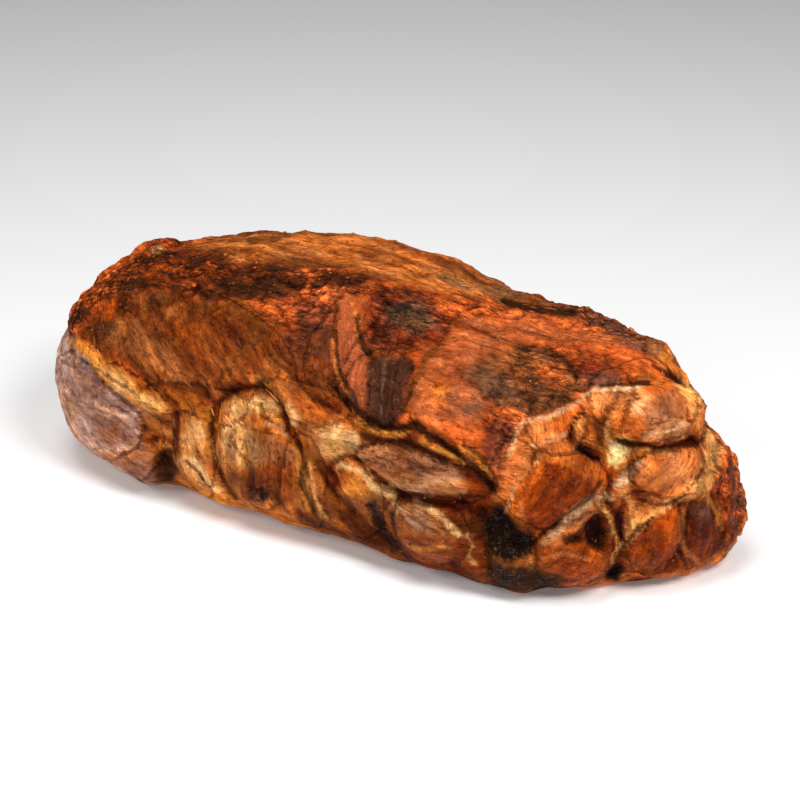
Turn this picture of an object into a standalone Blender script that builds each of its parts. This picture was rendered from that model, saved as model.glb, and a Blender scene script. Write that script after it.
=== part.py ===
"""Roast pork neck, modelled as one closed solid that lies on its flat underside.

+X runs along the joint to its cut end, -Y is the near side and +Z is up. The origin is
the middle of the underside. Sizes in this file are millimetres until the mesh is made.

The body starts as a cube's grid that is drawn in to a rounded block. Muscles then swell
out of it, the fat cap stands proud over them, and seams and pits are cut back in.

A place on the body is written in one of three ways:
  ("round", x, angle)  the angle runs from 0 on top over the near side to 90 and beyond
  ("cut", y, z)        on the cut end, seen from +X
  ("tail", y, z)       on the folded end, seen from -X
"""

import math

import bmesh
import bpy
import numpy as np
from mathutils import Vector, noise
from mathutils.bvhtree import BVHTree

MM = 0.001
NAME = "pork_neck"

# Driving sizes of the plain body.
MIDDLE_HEIGHT = 28.0
UNDERCUT = 3.5
SECTION_POWER = 3.3
TAIL_POWER = 5.2
CUT_POWER = 7.5
SPINE_HEIGHT = 38.0

# Half widths and height at shares of the length, from the folded end to the cut end.
SHARES = (0.0, 0.12, 0.3, 0.5, 0.7, 0.86, 1.0)
NEAR_WIDTH = (57, 59, 58, 56, 54, 54, 54)
FAR_WIDTH = (44, 49, 53, 53, 50, 45, 38)
TOP_HEIGHT = (76, 80, 85, 85, 81, 79, 76)

# How far each end reaches along X, from the near side to the far side.
ACROSS = (-1.0, -0.5, 0.0, 0.5, 1.0)
TAIL_REACH = (-136, -138, -136, -132, -125)
CUT_REACH = (73, 97, 123, 125, 116)
CUT_LEAN = 19.0
CUT_TUCK = 5.0
TUCK_HEIGHT = 18.0
LEAN_FROM = 0.6

# Muscles: place, half length, half height, turn in degrees, swell.
MUSCLES = {
    "pale_lean": (("round", -103, 98), 28, 25, 0, 4.5),
    "pale_lean_foot": (("round", -88, 114), 20, 13, 0, 6.0),
    "fat_column": (("round", -55, 96), 9, 24, 0, 2.5),
    "round_muscle": (("round", -28, 91), 18, 25, 0, 4.0),
    "shank_band": (("round", -12, 68), 20, 6, -27, 2.0),
    "cream_patch": (("round", 8, 77), 16, 7, -12, 2.0),
    "streaky_muscle": (("round", -5, 101), 10, 20, -8, 3.5),
    "small_muscle": (("round", 14, 93), 13, 10, -15, 3.5),
    "small_foot": (("round", 21, 111), 17, 13, 0, 3.0),
    "long_muscle": (("round", 41, 81), 24, 9, -4, 3.0),
    "lower_muscle": (("round", 45, 103), 17, 15, -12, 4.5),
    "corner_foot": (("round", 80, 122), 24, 14, 0, 5.0),
    "cut_large": (("cut", -39, 48), 18, 14, 20, 5.0),
    "cut_small_oval": (("cut", -27, 64), 6, 9, 0, 2.5),
    "cut_upper_near": (("round", 105, 16), 13, 12, 0, 4.5),
    "cut_upper_far": (("round", 110, -14), 12, 14, 0, 2.5),
    "cut_middle": (("cut", -10, 49), 13, 12, 25, 4.0),
    "cut_lower": (("cut", -15, 27), 12, 16, 0, 4.0),
    "cut_dark": (("cut", -2, 29), 8, 17, 0, 4.0),
    "cut_flap": (("cut", 21, 27), 18, 25, 0, 7.0),
    "cut_flap_foot": (("cut", 22, 9), 16, 9, 0, 5.0),
    "cut_knot": (("cut", -34, 21), 15, 17, 0, 4.5),
    "cut_ridge": (("cut", -24, 38), 4, 14, -20, 3.0),
    "cut_cream": (("cut", -23, 56), 6, 7, 0, 2.0),
    "tail_lean": (("tail", -32, 32), 26, 24, 0, 4.5),
    "tail_middle": (("tail", 16, 30), 27, 24, 10, 5.0),
    "tail_cap": (("tail", -2, 62), 36, 12, 0, 3.0),
    "crisp_lump_top": (("round", -121, -8), 9, 13, 0, 4.5),
    "crisp_lump_near": (("round", -119, 58), 10, 10, 0, 1.5),
    "far_tail": (("round", -100, -102), 30, 24, 8, 5.0),
    "far_round": (("round", -52, -98), 24, 22, -10, 4.5),
    "far_long": (("round", -4, -96), 30, 16, 6, 4.0),
    "far_low": (("round", 4, -118), 34, 9, 0, 3.0),
    "far_shoulder": (("round", 52, -100), 26, 24, -8, 5.0),
    "far_corner": (("round", 94, -96), 20, 24, 0, 4.0),
    "back_swell": (("round", -25, -32), 42, 18, 0, 3.0),
    "cap_end_rise": (("round", 86, -20), 20, 14, 0, 2.5),
}

# The fat cap's near edge and far edge: x, angle.
CAP_EDGE = (
    (-141, 64), (-112, 70), (-95, 76), (-80, 82), (-70, 87), (-60, 84), (-46, 76),
    (-38, 68), (-28, 66), (-22, 58), (-8, 60), (8, 65), (18, 69), (32, 68), (43, 66),
    (54, 71), (63, 77), (67, 80), (69, 66), (73, 55), (81, 44), (87, 33), (91, 20),
    (98, 6), (102, -20), (106, -50),
)
FAR_CAP_EDGE = (
    (-141, -62), (-110, -74), (-76, -70), (-50, -80), (-15, -72), (20, -82), (55, -72),
    (85, -80), (110, -64),
)
CAP_STEP = 2.2
CAP_STEP_WIDTH = 3.2
MM_PER_DEGREE = 0.85

# Seams and creases cut into the surface: depth, width, then the way they run.
SEAMS = {
    "under_fat_stripe": (2.2, 2.5, "round", [(-120, 76), (-100, 86), (-84, 93), (-74, 99)]),
    "pale_lean_side": (3.5, 2.8, "round", [(-78, 97), (-72, 107), (-71, 118)]),
    "round_muscle_side": (3.0, 2.2, "round", [(-46, 82), (-46, 95), (-42, 113)]),
    "round_muscle_top": (
        3.2, 2.2, "round", [(-46, 82), (-42, 74), (-34, 68), (-24, 69), (-16, 75), (-10, 87)]
    ),
    "cap_overhang": (2.2, 2.2, "round", [(8, 64), (18, 69), (32, 68), (43, 66), (54, 71)]),
    "gold_line": (2.2, 2.0, "round", [(24, 73), (38, 72), (52, 76), (64, 81)]),
    "long_muscle_foot": (3.2, 2.4, "round", [(26, 89), (38, 93), (52, 91), (62, 96)]),
    "valley": (4.0, 3.0, "round", [(4, 92), (10, 101), (16, 108), (25, 115)]),
    "streaky_side": (2.5, 2.2, "round", [(-13, 92), (-11, 104), (-8, 117)]),
    "lower_muscle_side": (3.0, 2.4, "round", [(62, 94), (64, 104), (64, 115)]),
    "under_upper_muscle": (5.0, 2.4, "cut", [(-26, 60), (-20, 58), (-12, 60), (-2, 57)]),
    "knot_top": (3.0, 2.4, "cut", [(-46, 25), (-40, 30), (-35, 38), (-28, 42)]),
    "knot_side": (4.0, 2.6, "cut", [(-22, 8), (-22, 20), (-23, 30)]),
    "middle_lower": (2.6, 2.4, "cut", [(-21, 39), (-14, 40), (-3, 47), (1, 50)]),
    "lower_dark": (2.6, 2.4, "cut", [(-8, 12), (-7, 22), (-6, 36)]),
    "flap": (3.6, 2.8, "cut", [(6, 56), (6, 50), (3, 39), (4, 26), (6, 12)]),
    "far_tail_side": (4.0, 3.0, "round", [(-76, -76), (-72, -96), (-78, -118)]),
    "far_round_side": (3.5, 2.8, "round", [(-32, -74), (-30, -92), (-36, -116)]),
    "far_shoulder_side": (4.0, 3.0, "round", [(27, -76), (30, -96), (24, -118)]),
    "far_corner_side": (3.5, 2.8, "round", [(76, -74), (78, -94), (72, -116)]),
    "far_low_top": (2.5, 2.4, "round", [(-30, -110), (0, -108), (28, -111)]),
    "tail_split": (4.5, 3.0, "tail", [(-8, 8), (-7, 30), (-4, 50)]),
    "tail_cap_edge": (3.5, 2.8, "tail", [(-42, 50), (-10, 51), (20, 54), (38, 50)]),
}

# Ridges that stand proud: height, width, then the way they run.
RIDGES = {
    "fat_rim": (
        2.6, 4.0, "round", [(69, 78), (70, 67), (76, 57), (85, 46), (90, 34), (94, 20)]
    ),
    "meat_strip": (2.0, 3.6, "round", [(-14, 24), (-1, 39), (10, 53), (19, 62)]),
    "fat_stripe": (2.0, 4.5, "round", [(-118, 69), (-104, 74), (-85, 80), (-70, 86)]),
}

# Pits: place, radius, depth.
PITS = {
    "wet_corner": (("round", 68, 95), 12, 4.5),
    "under_small_oval": (("cut", -30, 58), 4, 3.5),
    "foot_hole": (("round", -27, 112), 4, 2.5),
    "over_flap": (("round", 106, -32), 15, 4.5),
    "knot_hollow": (("cut", -31, 27), 5, 3.5),
}

# Roughness of the roasted crust: size of the lumps, height.
CRUST = ((24.0, 2.4), (9.5, 1.5))
CRUST_SEED = Vector((3.1, 7.7, 1.3))

SOFTENING = 0.5

GRID = (116, 52, 40)
TRIANGLES = 11000


def smooth_curve(at, stations, values):
    """Values between stations, on a cubic whose slopes follow the neighbours."""
    s = np.asarray(stations, float)
    v = np.asarray(values, float)
    slope = np.gradient(v, s)
    at = np.clip(at, s[0], s[-1])
    i = np.clip(np.searchsorted(s, at) - 1, 0, len(s) - 2)
    step = s[i + 1] - s[i]
    t = (at - s[i]) / step
    rise = t * t * (3 - 2 * t)
    ends = (1 - rise) * v[i] + rise * v[i + 1]
    return ends + step * t * (1 - t) * ((1 - t) * slope[i] - t * slope[i + 1])


def ease(t):
    """0 to 1 with a soft start and a soft stop."""
    t = np.clip(t, 0, 1)
    return t * t * (3 - 2 * t)


def cube_grid(cells):
    """A cube from -1 to 1 whose faces are cut into a grid, as a bmesh."""
    bm = bmesh.new()
    bmesh.ops.create_cube(bm, size=2)
    for axis, count in enumerate(cells):
        along = [e for e in bm.edges if abs((e.verts[1].co - e.verts[0].co)[axis]) > 1e-6]
        bmesh.ops.subdivide_edges(bm, edges=along, cuts=count - 1, use_grid_fill=True)
    return bm


def points_of(bm):
    return np.array([v.co for v in bm.verts])


def move_points(bm, points):
    for vert, point in zip(bm.verts, points):
        vert.co = point
    bm.normal_update()


def plain_body(cube):
    """The cube's points drawn in to a rounded block with the joint's widths, heights and ends."""
    ring = np.abs(cube[:, 1]) ** SECTION_POWER + np.abs(cube[:, 2]) ** SECTION_POWER
    power = np.where(cube[:, 0] < 0, TAIL_POWER, CUT_POWER)
    size = (ring ** (power / SECTION_POWER) + np.abs(cube[:, 0]) ** power) ** (1 / power)
    along, across, up = (cube / size[:, None]).T
    share = (along + 1) / 2
    tail = smooth_curve(across, ACROSS, TAIL_REACH)
    cut = smooth_curve(across, ACROSS, CUT_REACH)
    width = np.where(
        across < 0, smooth_curve(share, SHARES, NEAR_WIDTH), smooth_curve(share, SHARES, FAR_WIDTH)
    )
    top = smooth_curve(share, SHARES, TOP_HEIGHT)
    z = MIDDLE_HEIGHT + up * np.where(up > 0, top - MIDDLE_HEIGHT, MIDDLE_HEIGHT + UNDERCUT)
    lean = CUT_LEAN * ease((share - LEAN_FROM) / (1 - LEAN_FROM))
    lean *= np.clip(z / top, 0, 1) ** 2 * np.clip(0.5 + across, 0, 1)
    tuck = CUT_TUCK * ease(2 * share - 1) * ease(1 - z / TUCK_HEIGHT)
    x = tail + (cut - tail) * share - lean - tuck
    return np.stack([x, across * width, z], 1)


def place_on(tree, place):
    """The point and outward normal of the plain body at a place."""
    kind, first, second = place
    if kind == "round":
        angle = math.radians(second)
        start = Vector((first, 0, SPINE_HEIGHT))
        ray = Vector((0, -math.sin(angle), math.cos(angle)))
    else:
        start = Vector((0, first, second))
        ray = Vector((1, 0, 0)) if kind == "cut" else Vector((-1, 0, 0))
    point, normal, _, _ = tree.ray_cast(start, ray)
    if normal.dot(ray) < 0:
        normal = -normal
    return np.array(point), np.array(normal)


def swell(points, tree, muscle):
    """How far a muscle lifts each point: a flat dome with a steep rim."""
    place, half_length, half_height, turn, height = muscle
    centre, normal = place_on(tree, place)
    level = np.array([1.0, 0, 0]) if place[0] == "round" else np.cross([0, 0, 1.0], normal)
    level -= normal * (level @ normal)
    level /= np.linalg.norm(level)
    rise = np.cross(normal, level)
    cos, sin = math.cos(math.radians(turn)), math.sin(math.radians(turn))
    away = points - centre
    reach = (
        (away @ (cos * level + sin * rise) / half_length) ** 2
        + (away @ (cos * rise - sin * level) / half_height) ** 2
        + (away @ normal / (1.4 * min(half_length, half_height))) ** 2
    )
    return height * np.clip(1 - reach, 0, 1) ** 0.75


def distance_to_line(points, line):
    """Each point's distance to a line of straight pieces."""
    nearest = np.full(len(points), np.inf)
    for start, end in zip(line[:-1], line[1:]):
        run = end - start
        share = np.clip((points - start) @ run / (run @ run), 0, 1)
        gap = np.linalg.norm(points - start - share[:, None] * run, axis=1)
        nearest = np.minimum(nearest, gap)
    return nearest


def profile(points, tree, line):
    """1 along a seam or ridge, easing to 0 beside it, times its depth or height."""
    size, width, kind, way = line
    run = [place_on(tree, (kind, *step))[0] for step in way]
    return size * np.exp(-((distance_to_line(points, run) / width) ** 2))


def cap_height(points):
    """The fat cap stands one step above the meat, between its near and its far edge."""
    x, y, z = points.T
    angle = np.degrees(np.arctan2(-y, z - SPINE_HEIGHT))
    near = np.interp(x, *zip(*CAP_EDGE)) - angle
    far = angle - np.interp(x, *zip(*FAR_CAP_EDGE))
    inside = np.minimum(near, far) * MM_PER_DEGREE
    return CAP_STEP * ease(inside / CAP_STEP_WIDTH + 0.5)


def crust(points):
    """Uneven lumps over the whole joint."""
    rough = np.zeros(len(points))
    for size, height in CRUST:
        rough += height * np.array([noise.noise(Vector(p) / size + CRUST_SEED) for p in points])
    return rough


def softened(bm, points):
    """The points after one light pass of smoothing."""
    move_points(bm, points)
    bmesh.ops.smooth_vert(
        bm, verts=bm.verts, factor=SOFTENING, use_axis_x=True, use_axis_y=True, use_axis_z=True
    )
    return points_of(bm)


def shaped_points(bm):
    """The body's points with muscles, cap, seams, ridges and pits."""
    body = plain_body(points_of(bm))
    move_points(bm, body)
    tree = BVHTree.FromBMesh(bm)
    normals = np.array([v.normal for v in bm.verts])
    lift = np.max([swell(body, tree, muscle) for muscle in MUSCLES.values()], axis=0)
    lift += cap_height(body) + crust(body)
    lift += sum(profile(body, tree, ridge) for ridge in RIDGES.values())
    lift -= sum(profile(body, tree, seam) for seam in SEAMS.values())
    for place, radius, depth in PITS.values():
        away = np.linalg.norm(body - place_on(tree, place)[0], axis=1)
        lift -= depth * np.exp(-((away / radius) ** 4))
    return softened(bm, body + normals * lift[:, None])


def flatten_foot(points):
    """Everything below the underside is pressed flat on it."""
    points[:, 2] = np.maximum(points[:, 2], 0)
    return points


def centred(points):
    """Moved so that the middle of the box is over the origin."""
    points[:, :2] -= (points[:, :2].min(0) + points[:, :2].max(0)) / 2
    return points


def meat_material():
    material = bpy.data.materials.new("roasted_meat")
    material.use_nodes = True
    shader = material.node_tree.nodes["Principled BSDF"]
    shader.inputs["Base Color"].default_value = (0.42, 0.15, 0.05, 1)
    shader.inputs["Roughness"].default_value = 0.42
    shader.inputs["Metallic"].default_value = 0.0
    return material


def thinned(obj, triangles):
    """The object's mesh with about this many triangles, and its foot flat again."""
    reducer = obj.modifiers.new("thin", "DECIMATE")
    reducer.ratio = triangles / (2 * len(obj.data.polygons))
    reducer.use_collapse_triangulate = True
    bpy.context.view_layer.update()
    evaluated = obj.evaluated_get(bpy.context.evaluated_depsgraph_get())
    mesh = bpy.data.meshes.new_from_object(evaluated)
    obj.modifiers.clear()
    for vert in mesh.vertices:
        vert.co.z = max(vert.co.z, 0)
    return mesh


def main():
    for old in list(bpy.data.objects):
        bpy.data.objects.remove(old)
    bm = cube_grid(GRID)
    points = centred(flatten_foot(shaped_points(bm)))
    move_points(bm, points * MM)
    mesh = bpy.data.meshes.new(NAME)
    bm.to_mesh(mesh)
    bm.free()
    roast = bpy.data.objects.new(NAME, mesh)
    parts = bpy.data.collections.new("roast_pork_neck")
    bpy.context.scene.collection.children.link(parts)
    parts.objects.link(roast)
    roast.data = thinned(roast, TRIANGLES)
    roast.data.materials.append(meat_material())
    roast.data.shade_smooth()


main()
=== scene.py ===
"""A whole roast pork neck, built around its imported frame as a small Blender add-on."""

import math

import bmesh
import bpy
import numpy as np
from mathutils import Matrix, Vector, noise
from mathutils.bvhtree import BVHTree


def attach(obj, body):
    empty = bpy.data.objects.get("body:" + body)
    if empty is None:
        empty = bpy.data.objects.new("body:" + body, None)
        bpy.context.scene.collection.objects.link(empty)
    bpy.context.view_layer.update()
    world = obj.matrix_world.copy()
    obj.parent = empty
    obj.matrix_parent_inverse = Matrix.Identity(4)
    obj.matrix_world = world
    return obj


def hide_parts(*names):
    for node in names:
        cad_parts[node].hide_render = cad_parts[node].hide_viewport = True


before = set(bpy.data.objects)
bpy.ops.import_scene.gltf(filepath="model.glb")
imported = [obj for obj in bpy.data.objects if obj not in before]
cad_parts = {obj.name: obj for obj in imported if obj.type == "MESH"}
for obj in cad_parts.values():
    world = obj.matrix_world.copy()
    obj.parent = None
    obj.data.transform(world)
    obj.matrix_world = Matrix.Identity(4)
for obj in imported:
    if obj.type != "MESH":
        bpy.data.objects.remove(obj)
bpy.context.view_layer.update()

bl_info = {
    "name": "Roast Pork Neck",
    "version": (1, 0, 0),
    "blender": (4, 5, 0),
    "location": "3D View > Sidebar > Roast",
    "description": "Builds a whole roast pork neck with its crust, muscles, juices and stage",
    "category": "Object",
}

MM = 0.001
SOLID = "pork_neck"
BODY = "root"

# The joint's plain body, in millimetres, with the same values as its solid.
CENTRE = (-5.65, -3.20)
MIDDLE_HEIGHT = 28.0
UNDERCUT = 3.5
SECTION_POWER = 3.3
TAIL_POWER = 5.2
CUT_POWER = 7.5
SPINE_HEIGHT = 38.0
SHARES = (0.0, 0.12, 0.3, 0.5, 0.7, 0.86, 1.0)
NEAR_WIDTH = (57, 59, 58, 56, 54, 54, 54)
FAR_WIDTH = (44, 49, 53, 53, 50, 45, 38)
TOP_HEIGHT = (76, 80, 85, 85, 81, 79, 76)
ACROSS = (-1.0, -0.5, 0.0, 0.5, 1.0)
TAIL_REACH = (-136, -138, -136, -132, -125)
CUT_REACH = (73, 97, 123, 125, 116)
CUT_LEAN = 19.0
CUT_TUCK = 5.0
TUCK_HEIGHT = 18.0
LEAN_FROM = 0.6

# Muscles: place, half length, half height, turn in degrees, swell.
MUSCLES = {
    "pale_lean": (("round", -103, 98), 28, 25, 0, 4.5),
    "pale_lean_foot": (("round", -88, 114), 20, 13, 0, 6.0),
    "fat_column": (("round", -55, 96), 9, 24, 0, 2.5),
    "round_muscle": (("round", -28, 91), 18, 25, 0, 4.0),
    "shank_band": (("round", -12, 68), 20, 6, -27, 2.0),
    "cream_patch": (("round", 8, 77), 16, 7, -12, 2.0),
    "streaky_muscle": (("round", -5, 101), 10, 20, -8, 3.5),
    "small_muscle": (("round", 14, 93), 13, 10, -15, 3.5),
    "small_foot": (("round", 21, 111), 17, 13, 0, 3.0),
    "long_muscle": (("round", 41, 81), 24, 9, -4, 3.0),
    "lower_muscle": (("round", 45, 103), 17, 15, -12, 4.5),
    "corner_foot": (("round", 80, 122), 24, 14, 0, 5.0),
    "cut_large": (("cut", -39, 48), 18, 14, 20, 5.0),
    "cut_small_oval": (("cut", -27, 64), 6, 9, 0, 2.5),
    "cut_upper_near": (("round", 105, 16), 13, 12, 0, 4.5),
    "cut_upper_far": (("round", 110, -14), 12, 14, 0, 2.5),
    "cut_middle": (("cut", -10, 49), 13, 12, 25, 4.0),
    "cut_lower": (("cut", -15, 27), 12, 16, 0, 4.0),
    "cut_dark": (("cut", -2, 29), 8, 17, 0, 4.0),
    "cut_flap": (("cut", 21, 27), 18, 25, 0, 7.0),
    "cut_flap_foot": (("cut", 22, 9), 16, 9, 0, 5.0),
    "cut_knot": (("cut", -34, 21), 15, 17, 0, 4.5),
    "cut_ridge": (("cut", -24, 38), 4, 14, -20, 3.0),
    "cut_cream": (("cut", -23, 56), 6, 7, 0, 2.0),
    "tail_lean": (("tail", -32, 32), 26, 24, 0, 4.5),
    "tail_middle": (("tail", 16, 30), 27, 24, 10, 5.0),
    "tail_cap": (("tail", -2, 62), 36, 12, 0, 3.0),
    "crisp_lump_top": (("round", -121, -8), 9, 13, 0, 4.5),
    "crisp_lump_near": (("round", -119, 58), 10, 10, 0, 1.5),
    "far_tail": (("round", -100, -102), 30, 24, 8, 5.0),
    "far_round": (("round", -52, -98), 24, 22, -10, 4.5),
    "far_long": (("round", -4, -96), 30, 16, 6, 4.0),
    "far_low": (("round", 4, -118), 34, 9, 0, 3.0),
    "far_shoulder": (("round", 52, -100), 26, 24, -8, 5.0),
    "far_corner": (("round", 94, -96), 20, 24, 0, 4.0),
    "back_swell": (("round", -25, -32), 42, 18, 0, 3.0),
    "cap_end_rise": (("round", 86, -20), 20, 14, 0, 2.5),
    "far_end_shoulder": (("round", 94, -30), 14, 12, 0, 3.6),
    "far_top_rise": (("round", 54, -32), 13, 12, 0, 2.5),
}

# The fat cap's near edge and far edge: x, angle.
CAP_EDGE = (
    (-141, 64), (-112, 70), (-95, 76), (-80, 82), (-70, 87), (-60, 84), (-46, 76),
    (-38, 68), (-28, 66), (-22, 58), (-8, 60), (8, 65), (18, 69), (32, 68), (43, 66),
    (54, 71), (63, 77), (67, 80), (69, 66), (73, 55), (81, 44), (87, 33), (91, 20),
    (98, 6), (102, -20), (106, -50),
)
FAR_CAP_EDGE = (
    (-141, -62), (-110, -74), (-76, -70), (-50, -80), (-15, -72), (20, -82), (55, -72),
    (85, -80), (110, -64),
)
CAP_STEP = 2.2
CAP_STEP_WIDTH = 3.2
MM_PER_DEGREE = 0.85

# Seams and creases cut into the surface: depth, width, then the way they run.
SEAMS = {
    "under_fat_stripe": (2.2, 2.5, "round", [(-120, 76), (-100, 86), (-84, 93), (-74, 99)]),
    "pale_lean_side": (3.5, 2.8, "round", [(-78, 97), (-72, 107), (-71, 118)]),
    "round_muscle_side": (3.0, 2.2, "round", [(-46, 82), (-46, 95), (-42, 113)]),
    "round_muscle_top": (
        3.2, 2.2, "round", [(-46, 82), (-42, 74), (-34, 68), (-24, 69), (-16, 75), (-10, 87)]
    ),
    "cap_overhang": (2.2, 2.2, "round", [(8, 64), (18, 69), (32, 68), (43, 66), (54, 71)]),
    "gold_line": (2.2, 2.0, "round", [(24, 73), (38, 72), (52, 76), (64, 81)]),
    "long_muscle_foot": (3.2, 2.4, "round", [(26, 89), (38, 93), (52, 91), (62, 96)]),
    "valley": (4.0, 3.0, "round", [(4, 92), (10, 101), (16, 108), (25, 115)]),
    "streaky_side": (2.5, 2.2, "round", [(-13, 92), (-11, 104), (-8, 117)]),
    "lower_muscle_side": (3.0, 2.4, "round", [(62, 94), (64, 104), (64, 115)]),
    "under_upper_muscle": (3.2, 2.2, "cut", [(-26, 60), (-20, 58), (-12, 60), (-2, 57)]),
    "knot_top": (3.0, 2.4, "cut", [(-46, 25), (-40, 30), (-35, 38), (-28, 42)]),
    "knot_side": (4.0, 2.6, "cut", [(-22, 8), (-22, 20), (-23, 30)]),
    "middle_lower": (2.6, 2.4, "cut", [(-21, 39), (-14, 40), (-3, 47), (1, 50)]),
    "lower_dark": (2.6, 2.4, "cut", [(-8, 12), (-7, 22), (-6, 36)]),
    "flap": (1.6, 2.4, "cut", [(6, 56), (6, 50), (3, 39), (4, 26), (6, 12)]),
    "far_tail_side": (4.0, 3.0, "round", [(-76, -76), (-72, -96), (-78, -118)]),
    "far_round_side": (3.5, 2.8, "round", [(-32, -74), (-30, -92), (-36, -116)]),
    "far_shoulder_side": (4.0, 3.0, "round", [(27, -76), (30, -96), (24, -118)]),
    "far_corner_side": (3.5, 2.8, "round", [(76, -74), (78, -94), (72, -116)]),
    "far_low_top": (2.5, 2.4, "round", [(-30, -110), (0, -108), (28, -111)]),
    "tail_split": (4.5, 3.0, "tail", [(-8, 8), (-7, 30), (-4, 50)]),
    "tail_cap_edge": (3.5, 2.8, "tail", [(-42, 50), (-10, 51), (20, 54), (38, 50)]),
}

# Ridges that stand proud: height, width, then the way they run.
RIDGES = {
    "fat_rim": (
        2.6, 4.0, "round", [(69, 78), (70, 67), (76, 57), (85, 46), (90, 34), (94, 20)]
    ),
    "meat_strip": (2.0, 3.6, "round", [(-14, 24), (-1, 39), (10, 53), (19, 62)]),
    "fat_stripe": (2.0, 4.5, "round", [(-118, 69), (-104, 74), (-85, 80), (-70, 86)]),
}

# Pits: place, radius, depth.
PITS = {
    "end_notch": (("cut", 24, 50), 9, 6.0),
    "wet_corner": (("round", 68, 95), 12, 4.5),
    "tail_shoulder": (("round", -126, 50), 15, 3.4),
    "under_small_oval": (("cut", -30, 58), 4, 3.5),
    "foot_hole": (("round", -27, 112), 4, 2.5),
    "over_flap": (("round", 106, -32), 15, 4.5),
    "knot_hollow": (("cut", -31, 27), 5, 3.5),
}

# Roughness of the roasted crust: size of the lumps, height.
CRUST = ((24.0, 2.4), (9.5, 1.5))
CRUST_SEED = Vector((3.1, 7.7, 1.3))

# The rim of a muscle's dome, the depth of an oval as a share of its smaller half, and how much
# the whole relief is softened.
DOME_POWER = 0.75
OVAL_DEPTH = 1.4
SOFTENING = 0.5

# How far the rim of a swollen patch slopes, how far a line's ridge or crease spreads beyond its
# half width, and the share of the solid's muscles and seams that stays under the finer outlines.
SWELL_EDGE = 5.0
LINE_SPREAD = 1.3
SOLID_SHARE = 0.6

# Strands of meat as (share, stretch along the fibres, width, seed), and their height.
STRANDS = ((1.0, 0.10, 2.6, (0.3, 5.1, 2.2)), (0.6, 0.14, 1.5, (4.3, 1.1, 7.2)))
STRAND_HEIGHT = 0.7

# Folds across the strands: stretch, spacing and seed of their noise, and how wide and deep a
# fold is where that noise passes 0.
FOLD_STRETCH = 0.35
FOLD_SPACING = 4.5
FOLD_SEED = (2.6, 8.8, 5.3)
FOLD_WIDTH = 0.06
FOLD_DEPTH = 0.9
FOLD_SHARE = 0.6

# The crust's lumps and grit as (stretch along the joint, size, seed), the gaps between them, how
# flat their tops are, their middle height, how far and over what size they bend, their heights
# in millimetres and the lumps' share of the painted relief.
LUMPS = ((0.75, 7.0, (3.3, 0.2, 6.1)), (0.7, 3.2, (8.3, 4.2, 1.1)))
LUMP_GAP = 0.45
LUMP_POWER = 0.6
LUMP_MIDDLE = 0.6
LUMP_BEND = 2.8
BEND_SIZE = 6.0
LUMP_HEIGHT = 1.3
GRIT_HEIGHT = 0.5
LUMP_SHARE = 0.6

# Kinds of layers on a mesh's points, and what they call their values, by numbers to a point.
LAYERS = {1: ("FLOAT", "value"), 3: ("FLOAT_VECTOR", "vector"), 4: ("FLOAT_COLOR", "color")}

# Burnt areas: the way in over which they grow, the most they reach, and how near to a pale mark
# they stop.
BURNT_EDGE = 8.0
BURNT_MOST = 0.68
BURNT_STOP = 0.35
BURNT_FADE = 0.2

# How much lines wear away, the size of the worn stretches and how soft the patches' edges are.
LINE_WEAR = 0.2
WEAR_SIZE = 6.0
PATCH_SOFTNESS = 1.6

# Shares of the wandering by which patches, lines, burnt areas and the hidden sides' lines stray.
PATCH_STRAY = 0.4
LINE_STRAY = 0.2
BURNT_STRAY = 0.5
HIDDEN_STRAY = 0.25

# Where one tone passes into another: between the near and the far side, at the cut end, at the
# cap's edge and over to the far glaze, then the reach and steepness of the hidden sides' areas.
SIDES_BLEND = 20.0
CUT_END_FROM = 68.0
CUT_END_BLEND = 5.0
CAP_BLEND = 2.5
FAR_GLAZE_REACH = 30.0
HIDDEN_REACH = 1.25
HIDDEN_STEEPNESS = 1.25

# Uneven brightness as (size, share), the size and shares of warmer and cooler drifts, and the
# factors that make up for the pale haze of the juice on every tone.
MOTTLE = ((13.0, 0.35), (5.0, 0.45), (2.1, 0.3))
WARMTH_SIZE = 7.0
WARMTH = np.array((0.14, -0.02, -0.4))
GRADE = np.array((1.08, 1.0, 0.9))

# How far a surface has to face along the joint for its fibres to run upwards, and how far apart
# the patterns of neighbouring muscles lie.
END_TURN = 0.75
FIBRE_SHIFT = 37.0

# Broad streaks along the fibres as (width, share), how long they run, and how much they change
# each colour. Then the painted highlight on the crust's lumps and the painted shade in the gaps
# between them, as the lift and drop of the tint.
STREAKS = ((5.0, 0.9), (2.4, 0.7))
STREAK_STRETCH = 0.12
STREAK_TINT = np.array((0.85, 1.0, 1.1))
LUMP_HIGHLIGHT = 1.9
GAP_SHADE = 1.05

# Hollows painted darker as painted shade, and raised parts painted lighter as painted highlight: rounds of
# smoothing, depth in millimetres, share.
HOLLOW_SHADING = ((10, 0.8, 1.0), (60, 2.5, 0.4))

# How much the near side's grooves are filled with fat, over how many rounds of smoothing, how far
# from the middle that starts, and where it fades towards the cut end.
CALM_SHARE = 0.35
CALM_ROUNDS = 45
CALM_FROM = 12.0
CALM_UNTIL = 58.0
CALM_FADE = 10.0

# The finished joint's own grid, cut far finer than its solid, and finer still towards its cut
# end and its near side.
FINE_GRID = (230, 104, 74)
GRID_PULL = (0.08, -0.16, 0.0)

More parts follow.
